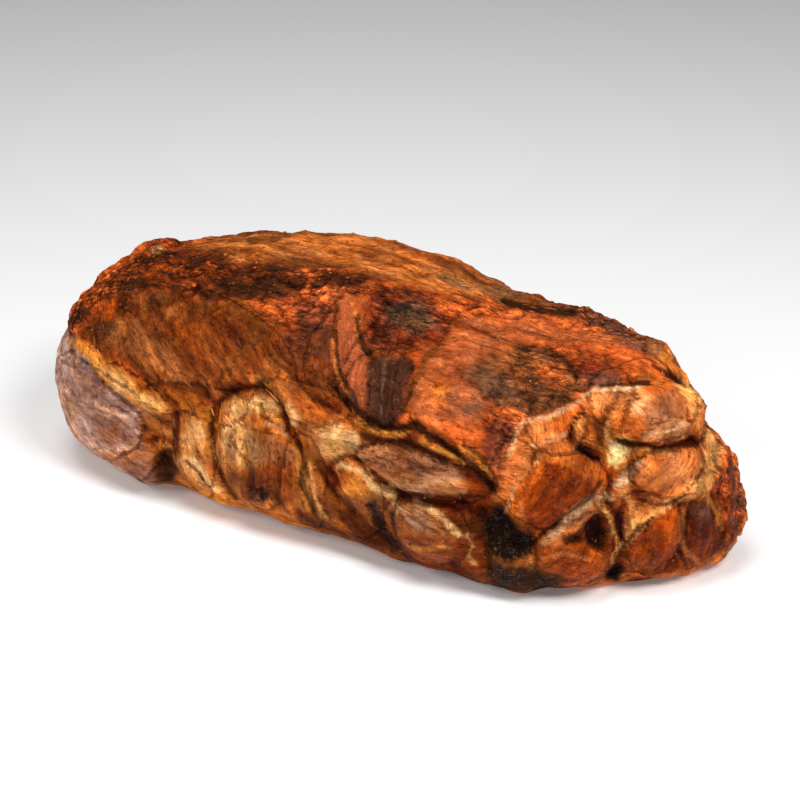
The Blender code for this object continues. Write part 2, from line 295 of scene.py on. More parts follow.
# What multiplies the meat's red, green and blue at each kind of mark.
TINTS = {
    "stain": (0.66, 0.46, 0.26),
    "dark_fibre": (0.42, 0.3, 0.24),
    "pale_fibre": (1.4, 1.42, 1.4),
    "low_crumb": (0.42, 0.3, 0.2),
    "high_crumb": (1.6, 1.6, 1.5),
    # Painted shade in the wrinkles.
    "wrinkle_shade": (0.4, 0.24, 0.14),
    # Painted shade in the crust's gaps and painted highlight on its tips.
    "gap": (0.25, 0.16, 0.1),
    "tip_highlight": (1.5, 1.4, 1.2),
    # Painted shade in hollows and painted highlight on raised parts.
    "hollow_shade": (0.34, 0.2, 0.12),
    "raised_highlight": (1.4, 1.38, 1.3),
    "low_bit": (0.5, 0.4, 0.3),
}

# Colours of the roast as they are seen in even light, as red, green and blue out of 255.
TONES = {
    "glaze": (200, 94, 38),
    "far_glaze": (172, 92, 42),
    "glaze_bright": (198, 110, 64),
    # The glaze on the cap's top painted paler where it is lit: painted light.
    "glaze_pale": (208, 128, 64),
    "gold_glaze": (236, 142, 56),
    "red_orange": (222, 108, 50),
    "amber": (142, 62, 6),
    "char": (48, 26, 8),
    "char_grey": (102, 80, 62),
    "charcoal": (72, 42, 26),
    "block": (84, 44, 34),
    "olive": (128, 88, 52),
    "maroon": (124, 44, 24),
    "purple_brown": (128, 66, 46),
    "side_brown": (122, 62, 18),
    "side_pale": (158, 96, 50),
    "strip": (176, 92, 56),
    "shank": (172, 96, 42),
    "pink_lean": (196, 158, 148),
    "low_lean": (136, 88, 68),
    "grey_lean": (112, 74, 62),
    "cream": (246, 202, 140),
    "pale_fat": (232, 190, 134),
    "gold_fat": (206, 134, 54),
    "ochre": (168, 94, 18),
    "crack": (66, 28, 2),
    "tan": (194, 118, 56),
    "grey_tan": (164, 112, 78),
    "lower_tan": (138, 80, 42),
    "foot_brown": (72, 24, 0),
    "deep_brown": (76, 36, 6),
    "black_gap": (34, 13, 2),
    "cut": (194, 110, 48),
    "cut_brown": (128, 54, 8),
    "cut_core": (128, 52, 0),
    "cut_glow": (214, 100, 20),
    "seam_fat": (252, 180, 104),
    "rim": (216, 130, 72),
    # Pale fat with a painted highlight: the colour of the glints, for the cut end's bright edges and
    # ridges.
    "rim_glint": (250, 204, 156),
    "spot_cream": (255, 240, 172),
    "lobe": (178, 92, 36),
    "wedge": (206, 146, 102),
    "wet_black": (22, 8, 2),
    "silver": (204, 160, 124),
    "flap_red": (202, 92, 40),
}

# Tones of the near side and the far side along the joint: x, tone.
NEAR_TONES = (
    (-138, "pink_lean"), (-82, "pink_lean"), (-72, "ochre"), (-50, "gold_fat"),
    (-32, "tan"), (5, "ochre"), (40, "cut_brown"), (62, "deep_brown"), (72, "deep_brown"),
)
FAR_TONES = (
    (-130, "tan"), (-90, "pink_lean"), (-50, "tan"), (-10, "grey_tan"), (40, "tan"),
    (80, "cut_brown"), (110, "cut"),
)

# Where the camera stands, in the body's millimetres and degrees, and the width of its picture
# in points. Outlines and lines below are drawn in this picture, as x and y in turn.
SEEN_FROM = (33.0, 26.0)
SEEN_DISTANCE = 700.0
SEEN_TARGET = (2.0, -7.0, 44.0)
LENS = 85.0
SENSOR = 36.0
PICTURE = 800.0

# Surfaces fade out of the camera's view below this share of facing it. Points farther from an
# outline or line than so many picture points count as far away, in millimetres.
FACING_EDGE = 0.2
NEAR_LINE = 40.0
FAR_AWAY = 99.0

# Areas of one tone on the sides that the camera sees, the broad ones first:
# tone, strength, soft edge, swell, outline.
PATCHES = {
    # Painted light: the cap's lit top in a paler glaze.
    "lit_top": ("glaze_pale", 0.85, 3, 0, [190, 244, 250, 234, 320, 234, 390, 246, 440, 264, 500, 290,
        470, 297, 430, 292, 390, 280, 340, 268, 290, 266, 240, 262]),
    "side": ("side_brown", 0.95, 3, 0, [118, 304, 160, 290, 200, 300, 240, 300, 268, 320, 290, 350,
        318, 384, 290, 378, 262, 374, 236, 388, 210, 400, 186, 402, 156, 386, 124, 366, 96, 350, 76, 334,
        94, 320]),
    "side_pale_tail": ("side_pale", 0.75, 3, 0, [110, 322, 138, 322, 168, 350, 186, 376, 170, 382, 140, 366,
        112, 344]),
    "side_pale_top": ("side_pale", 0.4, 3, 0, [136, 300, 160, 296, 172, 320, 158, 330]),
    "side_pale_foot": ("side_pale", 0.15, 3, 0, [190, 352, 214, 356, 240, 366, 250, 378, 224, 384,
        204, 376]),
    "crags_tail": ("amber", 0.9, 2, 0, [70, 320, 84, 300, 104, 282, 130, 258, 160, 262, 200, 260, 238, 266,
        240, 280, 200, 282, 160, 284, 132, 296, 112, 318, 94, 326]),
    "crags_middle": ("red_orange", 0.9, 2, 0, [252, 298, 280, 288, 312, 288, 334, 296, 330, 312, 300, 312,
        274, 308]),
    "band_haze": ("deep_brown", 0.7, 3, 0, [196, 284, 240, 276, 290, 274, 330, 276, 366, 276, 350, 284,
        300, 286, 262, 296, 216, 300]),
    "purple_by_strip": ("purple_brown", 0.85, 2, 0, [296, 308, 318, 302, 334, 310, 332, 324, 312, 330,
        298, 322]),
    "olive_haze": ("maroon", 0.7, 3, 0, [366, 296, 400, 288, 440, 296, 452, 314, 446, 336, 420, 346,
        384, 350, 364, 330]),
    "field": ("glaze_bright", 0.95, 2, 1.0, [410, 404, 420, 378, 438, 354, 454, 332, 470, 334, 480, 360,
        474, 382, 484, 408, 474, 428, 452, 436, 428, 428]),
    "field_glow": ("gold_glaze", 0.5, 3, 0, [424, 388, 440, 376, 456, 388, 450, 404, 430, 404]),
    "streaked_orange": ("glaze_bright", 0.85, 3, 0, [452, 328, 490, 318, 540, 320, 596, 336, 640, 346,
        600, 352, 550, 342, 506, 344, 474, 350]),
    "red_top": ("red_orange", 0.8, 3, 0, [436, 294, 480, 300, 540, 312, 600, 326, 640, 342, 600, 334,
        540, 322, 480, 316, 446, 310]),
    "strip": ("strip", 1.0, 1, 0, [340, 304, 348, 299, 356, 312, 359, 336, 370, 354, 364, 374, 359, 400,
        346, 382, 338, 352, 336, 320]),
    "dark_block": ("block", 1.0, 1.5, 0, [366, 362, 388, 358, 410, 366, 406, 390, 398, 424, 376, 422,
        361, 402]),
    "olive_grey_heart": ("char_grey", 0.9, 3, 0, [384, 304, 410, 300, 432, 310, 436, 326, 414, 334,
        390, 322]),
    "low_orange": ("red_orange", 0.85, 2, 0, [428, 428, 460, 422, 488, 428, 494, 452, 482, 456, 456, 444]),
    "olive_patch": ("olive", 0.7, 3, 0, [470, 372, 486, 356, 520, 345, 550, 350, 574, 364, 582, 386,
        564, 406, 530, 416, 498, 408, 480, 392]),
    "olive_red": ("red_orange", 0.6, 2, 0, [536, 368, 556, 370, 566, 382, 546, 388]),
    "olive_red_low": ("red_orange", 0.7, 2, 0, [484, 404, 506, 408, 526, 416, 504, 424, 486, 420]),
    "maroon_end": ("maroon", 0.9, 2, 0, [574, 364, 598, 360, 618, 370, 614, 384, 592, 390]),
    "purple_fold": ("purple_brown", 0.85, 2, 0, [486, 426, 506, 420, 514, 432, 506, 456, 500, 478,
        490, 462]),
    "gold_end": ("gold_glaze", 0.9, 2, 0, [648, 340, 664, 346, 684, 372, 694, 386, 676, 374, 656, 360]),
    "red_end": ("red_orange", 0.8, 2, 0, [596, 348, 634, 350, 660, 364, 680, 384, 640, 370]),
    "lump_top": ("amber", 0.9, 1, 2.0, [128, 256, 146, 241, 160, 244, 168, 253, 148, 260]),
    "lump_tip": ("cream", 0.5, 1, 0, [150, 243, 161, 246, 158, 254, 149, 252]),
    "tail_lean": ("pink_lean", 1.0, 1, 1.5, [54, 362, 62, 344, 82, 360, 104, 384, 130, 404, 144, 420,
        142, 446, 124, 458, 92, 454, 66, 425]),
    "tail_lean_dark": ("grey_lean", 0.7, 2, 0, [62, 376, 84, 383, 110, 396, 126, 410, 104, 406, 76, 394]),
    "tail_lean_red": ("low_lean", 0.9, 3, 0, [98, 418, 124, 424, 136, 440, 118, 448, 100, 440]),
    "tail_foot": ("low_lean", 0.9, 1, 1.0, [120, 462, 140, 455, 154, 458, 152, 476, 142, 484, 126, 472]),
    "tail_foot_ochre": ("ochre", 0.7, 2, 0, [100, 456, 122, 452, 148, 446, 146, 456, 122, 462]),
    "wrinkled": ("tan", 0.9, 1.5, 0, [140, 418, 160, 408, 176, 424, 176, 446, 150, 452, 142, 436]),
    "recess": ("deep_brown", 1.0, 1.5, -2.0, [154, 454, 174, 448, 177, 464, 170, 484, 152, 484]),
    "stripe": ("gold_fat", 1.0, 1, 1.0, [66, 339, 86, 342, 110, 360, 140, 384, 164, 398, 170, 411, 156, 414,
        134, 404, 104, 382, 82, 356]),
    "stripe_pale": ("cream", 0.5, 2, 0, [98, 362, 122, 376, 144, 392, 168, 406, 156, 411, 132, 402,
        106, 380]),
    "stripe_ochre": ("ochre", 0.8, 1.5, 0, [136, 380, 156, 386, 166, 398, 150, 396]),
    "ochre": ("ochre", 0.95, 2, 0, [162, 390, 184, 396, 206, 406, 206, 418, 184, 414, 170, 404]),
    "column": ("tan", 0.9, 1.2, 1.5, [178, 420, 194, 410, 207, 420, 209, 444, 214, 464, 230, 494, 210, 492,
        182, 474, 177, 446]),
    "column_pale": ("cream", 0.35, 2, 0, [181, 442, 190, 424, 202, 422, 204, 440, 196, 460]),
    "column_foot": ("cream", 0.5, 2.2, 0.8, [178, 460, 192, 458, 206, 474, 222, 494, 196, 482]),
    "round": ("tan", 1.0, 1.2, 2.5, [222, 408, 238, 396, 258, 390, 276, 398, 290, 424, 299, 446, 300, 480,
        302, 504, 284, 514, 246, 504, 226, 484, 216, 446]),
    "round_gold": ("cream", 0.5, 2.5, 0, [220, 430, 236, 420, 250, 432, 262, 450, 250, 466, 230, 466,
        221, 450]),
    "round_pale": ("pale_fat", 0.85, 2.5, 0.6, [248, 402, 264, 395, 278, 403, 281, 414, 262, 416]),
    "round_cream": ("cream", 0.6, 2, 0, [226, 408, 242, 398, 250, 410, 238, 422]),
    "round_pink": ("grey_tan", 0.7, 2, 0, [258, 440, 280, 440, 296, 460, 280, 466, 262, 458]),
    "round_brown": ("cut_brown", 0.85, 3, 0, [250, 468, 276, 464, 296, 476, 296, 500, 274, 504, 252, 492]),
    "round_foot": ("deep_brown", 0.7, 2.5, 0, [230, 478, 248, 476, 256, 494, 244, 502]),
    "shank": ("shank", 1.0, 2, 1.5, [262, 370, 274, 360, 296, 380, 318, 404, 346, 416, 358, 436, 352, 456,
        330, 460, 306, 446, 290, 420, 280, 396]),
    "shank_gold": ("tan", 0.7, 2.5, 0, [296, 416, 318, 420, 342, 424, 356, 440, 344, 456, 318, 450]),
    "shank_cream": ("cream", 0.85, 3.5, 0.5, [320, 434, 334, 428, 348, 436, 345, 452, 328, 455]),
    "shank_left": ("cream", 0.8, 2, 0.5, [285, 402, 293, 408, 299, 424, 290, 424]),
    "shank_right": ("pale_fat", 0.8, 1.2, 0, [350, 430, 359, 436, 358, 452, 348, 456]),
    "under_cap": ("cut_brown", 0.9, 2, 0, [296, 374, 318, 388, 352, 410, 384, 426, 360, 424, 322, 406]),
    # Painted shadow under the fat cap's edge.
    "shade_under_cap": ("deep_brown", 0.9, 1.5, -1.0, [362, 430, 386, 436, 410, 440, 444, 458, 424, 462,
        386, 446, 362, 442]),
    "long": ("grey_tan", 1.0, 1.5, 2.0, [358, 452, 376, 443, 400, 446, 436, 460, 464, 474, 466, 490,
        452, 499, 414, 494, 384, 482, 364, 466]),
    "long_shade": ("grey_lean", 0.6, 2, 0, [394, 466, 414, 460, 432, 466, 416, 474]),
    "long_pale": ("silver", 0.5, 2, 0, [404, 482, 430, 474, 460, 474, 452, 484, 424, 488]),
    "long_end": ("cut_brown", 0.9, 2, 0, [464, 474, 482, 480, 492, 496, 488, 512, 470, 506, 464, 490]),
    "gap": ("cut_brown", 0.9, 1.2, -2.0, [436, 500, 456, 497, 472, 502, 470, 516, 452, 516]),
    "crossing": ("shank", 0.95, 1.5, 0.5, [316, 460, 350, 456, 380, 474, 400, 492, 398, 520, 386, 520,
        376, 500, 350, 480, 326, 476]),
    "crossing_cream": ("cream", 0.9, 2.0, 1.2, [356, 468, 376, 482, 394, 484, 396, 500, 382, 494]),
    "small": ("lower_tan", 0.95, 1.5, 1.8, [332, 490, 346, 481, 366, 484, 386, 500, 390, 520, 370, 516,
        346, 506]),
    "small_gold": ("gold_fat", 0.6, 2, 0, [340, 484, 358, 482, 376, 492, 366, 496, 346, 492]),
    "streaky": ("lower_tan", 0.9, 1.5, 1.5, [304, 462, 318, 474, 330, 496, 340, 520, 326, 526, 312, 510,
        304, 488]),
    "streaky_brown": ("cut_brown", 0.7, 2, 0, [312, 460, 330, 464, 340, 484, 328, 486, 318, 472]),
    "small_foot": ("foot_brown", 0.9, 2.5, 0, [336, 512, 360, 512, 380, 530, 388, 548, 360, 546]),
    "foot_ochre": ("foot_brown", 0.9, 2.5, 0, [296, 508, 320, 520, 352, 540, 330, 536, 300, 520]),
    "lower": ("lower_tan", 1.0, 1.2, 3.0, [396, 506, 412, 496, 434, 506, 458, 530, 458, 550, 440, 568,
        412, 560, 394, 536]),
    "lower_silver": ("silver", 0.35, 2, 0, [402, 506, 418, 506, 434, 524, 430, 536, 410, 526]),
    "lower_foot": ("cut_brown", 0.7, 2.5, 0, [402, 546, 430, 552, 452, 556, 440, 570, 412, 560]),
    "corner": ("cut_brown", 0.6, 1.2, 1.5, [456, 530, 474, 536, 486, 552, 488, 572, 470, 574, 454, 554]),
    "corner_brown": ("cut_brown", 0.7, 1.5, 0, [456, 536, 464, 546, 472, 562, 480, 574, 464, 566]),
    "low_ochre": ("cut_brown", 0.8, 2, 0, [440, 566, 470, 574, 492, 584, 470, 582]),
    # The cut end.
    "rim": ("rim", 1.0, 1, 1.5, [504, 482, 512, 450, 524, 422, 556, 414, 586, 395, 604, 386, 650, 386,
        632, 398, 604, 410, 578, 416, 564, 438, 536, 454, 514, 490]),
    "rim_orange": ("cut_glow", 0.7, 1.5, 0, [552, 420, 576, 402, 582, 412, 570, 434, 556, 432]),
    "large": ("cut", 1.0, 1, 2.5, [506, 520, 514, 488, 534, 456, 566, 440, 590, 456, 606, 482, 584, 506,
        552, 534, 520, 546]),
    "large_core": ("cut_core", 1.0, 1.5, 0, [524, 510, 530, 480, 546, 464, 568, 466, 594, 488, 578, 510,
        548, 534, 528, 532]),
    "large_glow": ("cut_glow", 0.7, 1.5, 0, [510, 516, 518, 488, 536, 464, 540, 474, 526, 500]),
    "large_top": ("cut_brown", 0.6, 2, 0, [556, 452, 580, 452, 600, 474, 596, 486, 572, 466]),
    "oval": ("cut", 1.0, 0.8, 1.5, [573, 434, 578, 416, 592, 409, 606, 420, 604, 440, 597, 456, 580, 448]),
    "oval_dark": ("crack", 0.9, 1.2, 0, [592, 418, 606, 418, 606, 434, 599, 446, 593, 436]),
    "oval_rim": ("seam_fat", 0.9, 0.8, 0.6, [574, 446, 576, 424, 584, 412, 582, 428, 579, 446]),
    "upper": ("lobe", 1.0, 1, 3.5, [608, 430, 614, 408, 634, 392, 664, 384, 694, 392, 703, 412, 696, 434,
        668, 447, 632, 442]),
    "upper_brown": ("grey_tan", 0.7, 2, 0, [650, 404, 662, 392, 684, 396, 688, 412, 664, 420, 646, 430]),
    # A painted highlight on the upper lobe's top, in the cream tone.
    "upper_highlight": ("cream", 0.5, 1.5, 0, [632, 410, 638, 396, 650, 396, 644, 412]),
    "upper_rim": ("seam_fat", 0.9, 1, 0, [676, 383, 692, 388, 703, 406, 698, 428, 694, 406]),
    "wedge": ("wedge", 0.95, 0.8, 0.8, [640, 442, 656, 426, 676, 417, 692, 422, 688, 434, 664, 442]),
    "spot_halo": ("gold_glaze", 0.95, 2, 0.8, [600, 448, 608, 438, 628, 440, 660, 449, 634, 462, 617, 478,
        602, 466]),
    "spot": ("spot_cream", 0.95, 2, 0.5, [608, 448, 614, 442, 626, 442, 634, 448, 624, 458, 615, 468,
        609, 460]),
    "under_spot": ("cut_glow", 0.8, 1.5, 0, [600, 466, 618, 472, 622, 482, 606, 490]),
    "middle": ("rim", 1.0, 1, 2.2, [640, 502, 638, 472, 656, 452, 700, 446, 706, 460, 690, 490, 660, 506]),
    "middle_dark": ("grey_lean", 0.4, 1.5, 0, [660, 456, 680, 458, 680, 478, 662, 498, 662, 474]),
    # Painted highlight along the middle muscle's left rim.
    "middle_rim": ("rim_glint", 0.9, 0.8, 0.6, [610, 486, 624, 474, 642, 458, 636, 474, 620, 488]),
    "fold_band": ("rim", 1.0, 1, 1.2, [618, 490, 634, 482, 640, 504, 632, 530, 621, 548, 622, 520]),
    "lower_end": ("cut_core", 0.9, 1, 2.0, [624, 552, 644, 528, 680, 502, 684, 530, 694, 568, 650, 577,
        624, 570]),
    "lower_core": ("cut_core", 0.7, 2.5, 0, [636, 548, 654, 528, 670, 530, 668, 556, 646, 564]),
    "lower_red": ("maroon", 0.8, 1, 0, [626, 546, 640, 535, 650, 530, 640, 544]),
    "lower_orange": ("cut_glow", 0.6, 2, 0, [664, 516, 680, 506, 680, 536, 670, 544]),
    "dark_end": ("cut_core", 1.0, 1, 2.0, [686, 528, 692, 506, 708, 504, 718, 530, 716, 554, 700, 560,
        688, 546]),
    "dark_end_core": ("foot_brown", 0.8, 2, 0, [690, 520, 704, 516, 712, 536, 704, 552, 692, 540]),
    "dark_end_top": ("grey_lean", 0.8, 1.2, 0, [690, 512, 700, 503, 710, 510, 702, 522]),
    "flap": ("flap_red", 1.0, 1, 1.5, [714, 444, 736, 456, 750, 480, 746, 520, 734, 548, 706, 576, 720, 548,
        718, 510, 712, 486]),
    "seam_field": ("rim", 0.95, 1.5, 0.8, [702, 434, 714, 436, 722, 450, 720, 472, 712, 488, 694, 500,
        682, 498, 694, 484, 706, 466]),
    "flap_foot": ("crack", 0.6, 3, 0, [716, 548, 730, 530, 748, 520, 742, 548, 714, 576]),
    "knot": ("cut_brown", 1.0, 1, 1.0, [536, 552, 560, 524, 592, 496, 612, 496, 622, 524, 620, 556,
        600, 576, 560, 574]),
    "knot_slope": ("rim", 0.7, 2, 1.0, [541, 550, 556, 531, 576, 514, 594, 499, 613, 496, 604, 510,
        588, 522, 572, 536, 554, 552]),
    "knot_glow": ("cut_glow", 0.7, 1, 0, [560, 550, 580, 544, 600, 552, 596, 562, 572, 560]),
    "knot_hollow": ("crack", 0.95, 1, -3.5, [584, 526, 592, 514, 602, 514, 609, 540, 602, 552, 590, 546]),
    "knot_low_hollow": ("crack", 0.9, 1, -1.5, [560, 540, 572, 533, 584, 538, 572, 545]),
    "knot_foot": ("cut_brown", 0.9, 1.5, 1.0, [536, 556, 566, 550, 602, 558, 602, 580, 570, 586, 540, 574]),
    "notch": ("black_gap", 1.0, 1, -3.0, [604, 578, 616, 562, 624, 562, 622, 578]),
    "wet": ("wet_black", 1.0, 2, -1.0, [486, 520, 498, 504, 516, 520, 536, 542, 530, 558, 504, 562,
        488, 548]),
    "wet_foot": ("wet_black", 0.95, 3, 0, [490, 562, 520, 564, 548, 574, 566, 588, 520, 594, 492, 584]),
}

# Burnt areas with ragged edges, laid out as the patches.
BURNT = {
    "top_streak": ("char", 0.75, [146, 260, 180, 251, 216, 256, 262, 262, 290, 268, 262, 278, 230, 268,
        184, 262]),
    "second_streak": ("char", 0.65, [120, 284, 160, 283, 200, 284, 196, 292, 160, 290]),
    "third_streak": ("char", 0.75, [200, 286, 236, 284, 270, 284, 300, 282, 290, 292, 252, 296, 214, 298]),
    "top_crags": ("char", 0.75, [320, 274, 350, 272, 376, 280, 352, 284, 326, 282]),
    "by_strip": ("charcoal", 0.8, [284, 336, 304, 328, 326, 322, 335, 340, 334, 366, 312, 364, 292, 350]),
    "low_by_strip": ("char", 0.6, [300, 352, 330, 368, 344, 392, 360, 408, 340, 400, 314, 372]),
    "olive_heart": ("char", 0.3, [366, 300, 384, 294, 404, 304, 400, 318, 424, 328, 446, 326, 442, 342,
        406, 344, 380, 336, 368, 322]),
    "below_olive": ("char", 0.6, [364, 346, 384, 340, 406, 350, 388, 358, 368, 356]),
    "block": ("charcoal", 0.5, [365, 362, 388, 360, 410, 366, 406, 392, 398, 426, 376, 424, 362, 404]),
    "field_spot": ("purple_brown", 0.8, [443, 398, 452, 391, 461, 400, 454, 408]),
    "field_low": ("purple_brown", 0.5, [418, 408, 440, 405, 446, 412, 426, 415]),
    "field_right": ("char_grey", 0.5, [464, 408, 474, 401, 486, 406, 476, 414]),
    "streak_spot": ("char", 0.5, [480, 340, 500, 336, 512, 342, 492, 348]),
    "olive_dark": ("charcoal", 0.6, [514, 384, 540, 382, 568, 394, 556, 410, 526, 408]),
    "olive_grey": ("char_grey", 0.55, [472, 372, 488, 372, 512, 384, 524, 398, 496, 396]),
    "end_dark": ("char_grey", 0.6, [584, 384, 604, 374, 620, 380, 614, 388, 590, 392]),
    "far_crags": ("char_grey", 0.7, [600, 324, 620, 328, 652, 344, 656, 354, 626, 342]),
    "tail_hole": ("char", 0.9, [118, 306, 122, 300, 128, 303, 124, 309]),
    "tail_edge": ("char", 0.7, [68, 310, 80, 304, 84, 316, 72, 330]),
    "tail_low": ("char", 0.7, [88, 326, 106, 322, 116, 330, 104, 338]),
    "black_spot": ("black_gap", 0.95, [256, 492, 264, 487, 270, 496, 262, 506]),
}

# Pale lines and dark lines: tone, strength, half width, height, then the way they run. Some pale lines are
# painted highlights and some dark lines painted shadows.
PALE_LINES = {
    "strip": ("strip", 1.0, 4.4, 1.6, [346, 302, 348, 320, 350, 340, 353, 360, 356, 380]),
    "strip_end": ("strip", 1.0, 3.4, 1.0, [356, 380, 357, 394, 359, 406]),
    "strip_gold": ("gold_fat", 0.6, 0.8, 0.6, [331, 340, 334, 362, 342, 384, 354, 404]),
    "strip_glow": ("gold_glaze", 0.7, 0.9, 0, [353, 302, 357, 316, 359, 334]),
    # Painted highlights along the rim's fold edge and its inner edge.
    "rim_glint": ("rim_glint", 0.7, 0.9, 0.8, [510, 458, 516, 434, 526, 421, 556, 414, 586, 395, 602, 388,
        640, 388]),
    "rim_inner": ("rim_glint", 0.5, 0.8, 0.5, [530, 448, 548, 440, 566, 434]),
    "gold_under_cap": ("gold_fat", 0.95, 1.4, 0.6, [358, 420, 376, 428, 392, 434, 408, 431]),
    "gold_second": ("gold_fat", 0.95, 1.3, 0.6, [424, 440, 438, 448, 452, 456, 464, 463]),
    "gold_lens": ("gold_fat", 0.8, 1.8, 0.8, [463, 450, 474, 454, 483, 464, 487, 473]),
    "cap_gold": ("amber", 0.8, 1.0, 0.4, [416, 424, 436, 432, 456, 444]),
    "cream_tail_column": ("pale_fat", 0.9, 0.9, 0.4, [194, 462, 204, 478, 216, 490]),
    "column_edge": ("pale_fat", 0.8, 0.7, 0.3, [212, 438, 214, 454, 219, 466]),
    "round_silver": ("silver", 0.9, 0.9, 0.4, [266, 424, 278, 427, 288, 434]),
    "round_side_gold": ("gold_fat", 0.65, 1.2, 0.8, [294, 450, 300, 466, 304, 486, 308, 508]),
    "streaky_pale": ("seam_fat", 0.45, 0.9, 0.6, [309, 464, 312, 484, 318, 502, 328, 518]),
    "crossing_line": ("cream", 0.7, 1.1, 0.5, [340, 464, 358, 472, 374, 486, 392, 494, 396, 510]),
    "lower_cream": ("cream", 0.65, 1.2, 0.8, [416, 501, 432, 510, 446, 522, 457, 533]),
    "lower_silver_line": ("silver", 0.8, 0.8, 0.3, [402, 508, 408, 520, 420, 530]),
    "lower_gold_line": ("gold_fat", 0.7, 0.8, 0.3, [408, 546, 426, 549, 446, 546]),
    "corner_line": ("cream", 0.25, 0.8, 0.5, [466, 534, 472, 544, 468, 556, 476, 566]),
    "spot_glow": ("spot_cream", 1.0, 1.8, 0.5, [612, 447, 619, 449, 618, 457, 613, 463]),
    "seam": ("seam_fat", 1.0, 2.6, 1.8, [690, 490, 706, 480, 713, 466, 713, 448, 708, 436]),
    "seam_tail": ("seam_fat", 0.9, 1.6, 1.3, [621, 546, 640, 526, 664, 508, 690, 491]),
    "seam_branch": ("rim", 0.7, 1.0, 0.4, [690, 492, 684, 512, 682, 544, 696, 562]),
    "seam_dark_end": ("gold_fat", 0.8, 0.8, 0.3, [704, 492, 714, 512, 722, 528]),
    # Painted highlights on the knot's ridge, with its glints and the wedge's.
    "knot_ridge": ("rim_glint", 0.5, 1.3, 1.6, [544, 543, 566, 518, 583, 504, 600, 495, 613, 499]),
    "knot_glint": ("rim_glint", 0.8, 1.0, 0.5, [552, 538, 572, 518, 592, 502, 606, 494]),
    "wedge_glint": ("rim_glint", 0.6, 0.7, 0.2, [656, 436, 672, 430, 686, 424]),
    "knot_rim": ("seam_fat", 0.75, 0.8, 0.9, [602, 504, 611, 520, 616, 542, 612, 562]),
    "knot_line": ("rim", 0.4, 0.8, 0.4, [544, 560, 566, 555, 590, 560]),
    "band_line": ("seam_fat", 0.8, 1.0, 0.4, [624, 492, 632, 508, 630, 530, 622, 545]),
    "spot_tail": ("seam_fat", 0.9, 0.9, 0.4, [634, 448, 650, 450, 670, 451]),
    # Painted highlight along the large muscle's upper left rim.
    "rim_left_line": ("rim_glint", 0.5, 0.7, 0.3, [506, 512, 512, 494, 524, 474, 540, 456]),
    "upper_line": ("seam_fat", 0.6, 0.8, 0.4, [606, 444, 606, 426, 616, 408, 630, 398]),
}

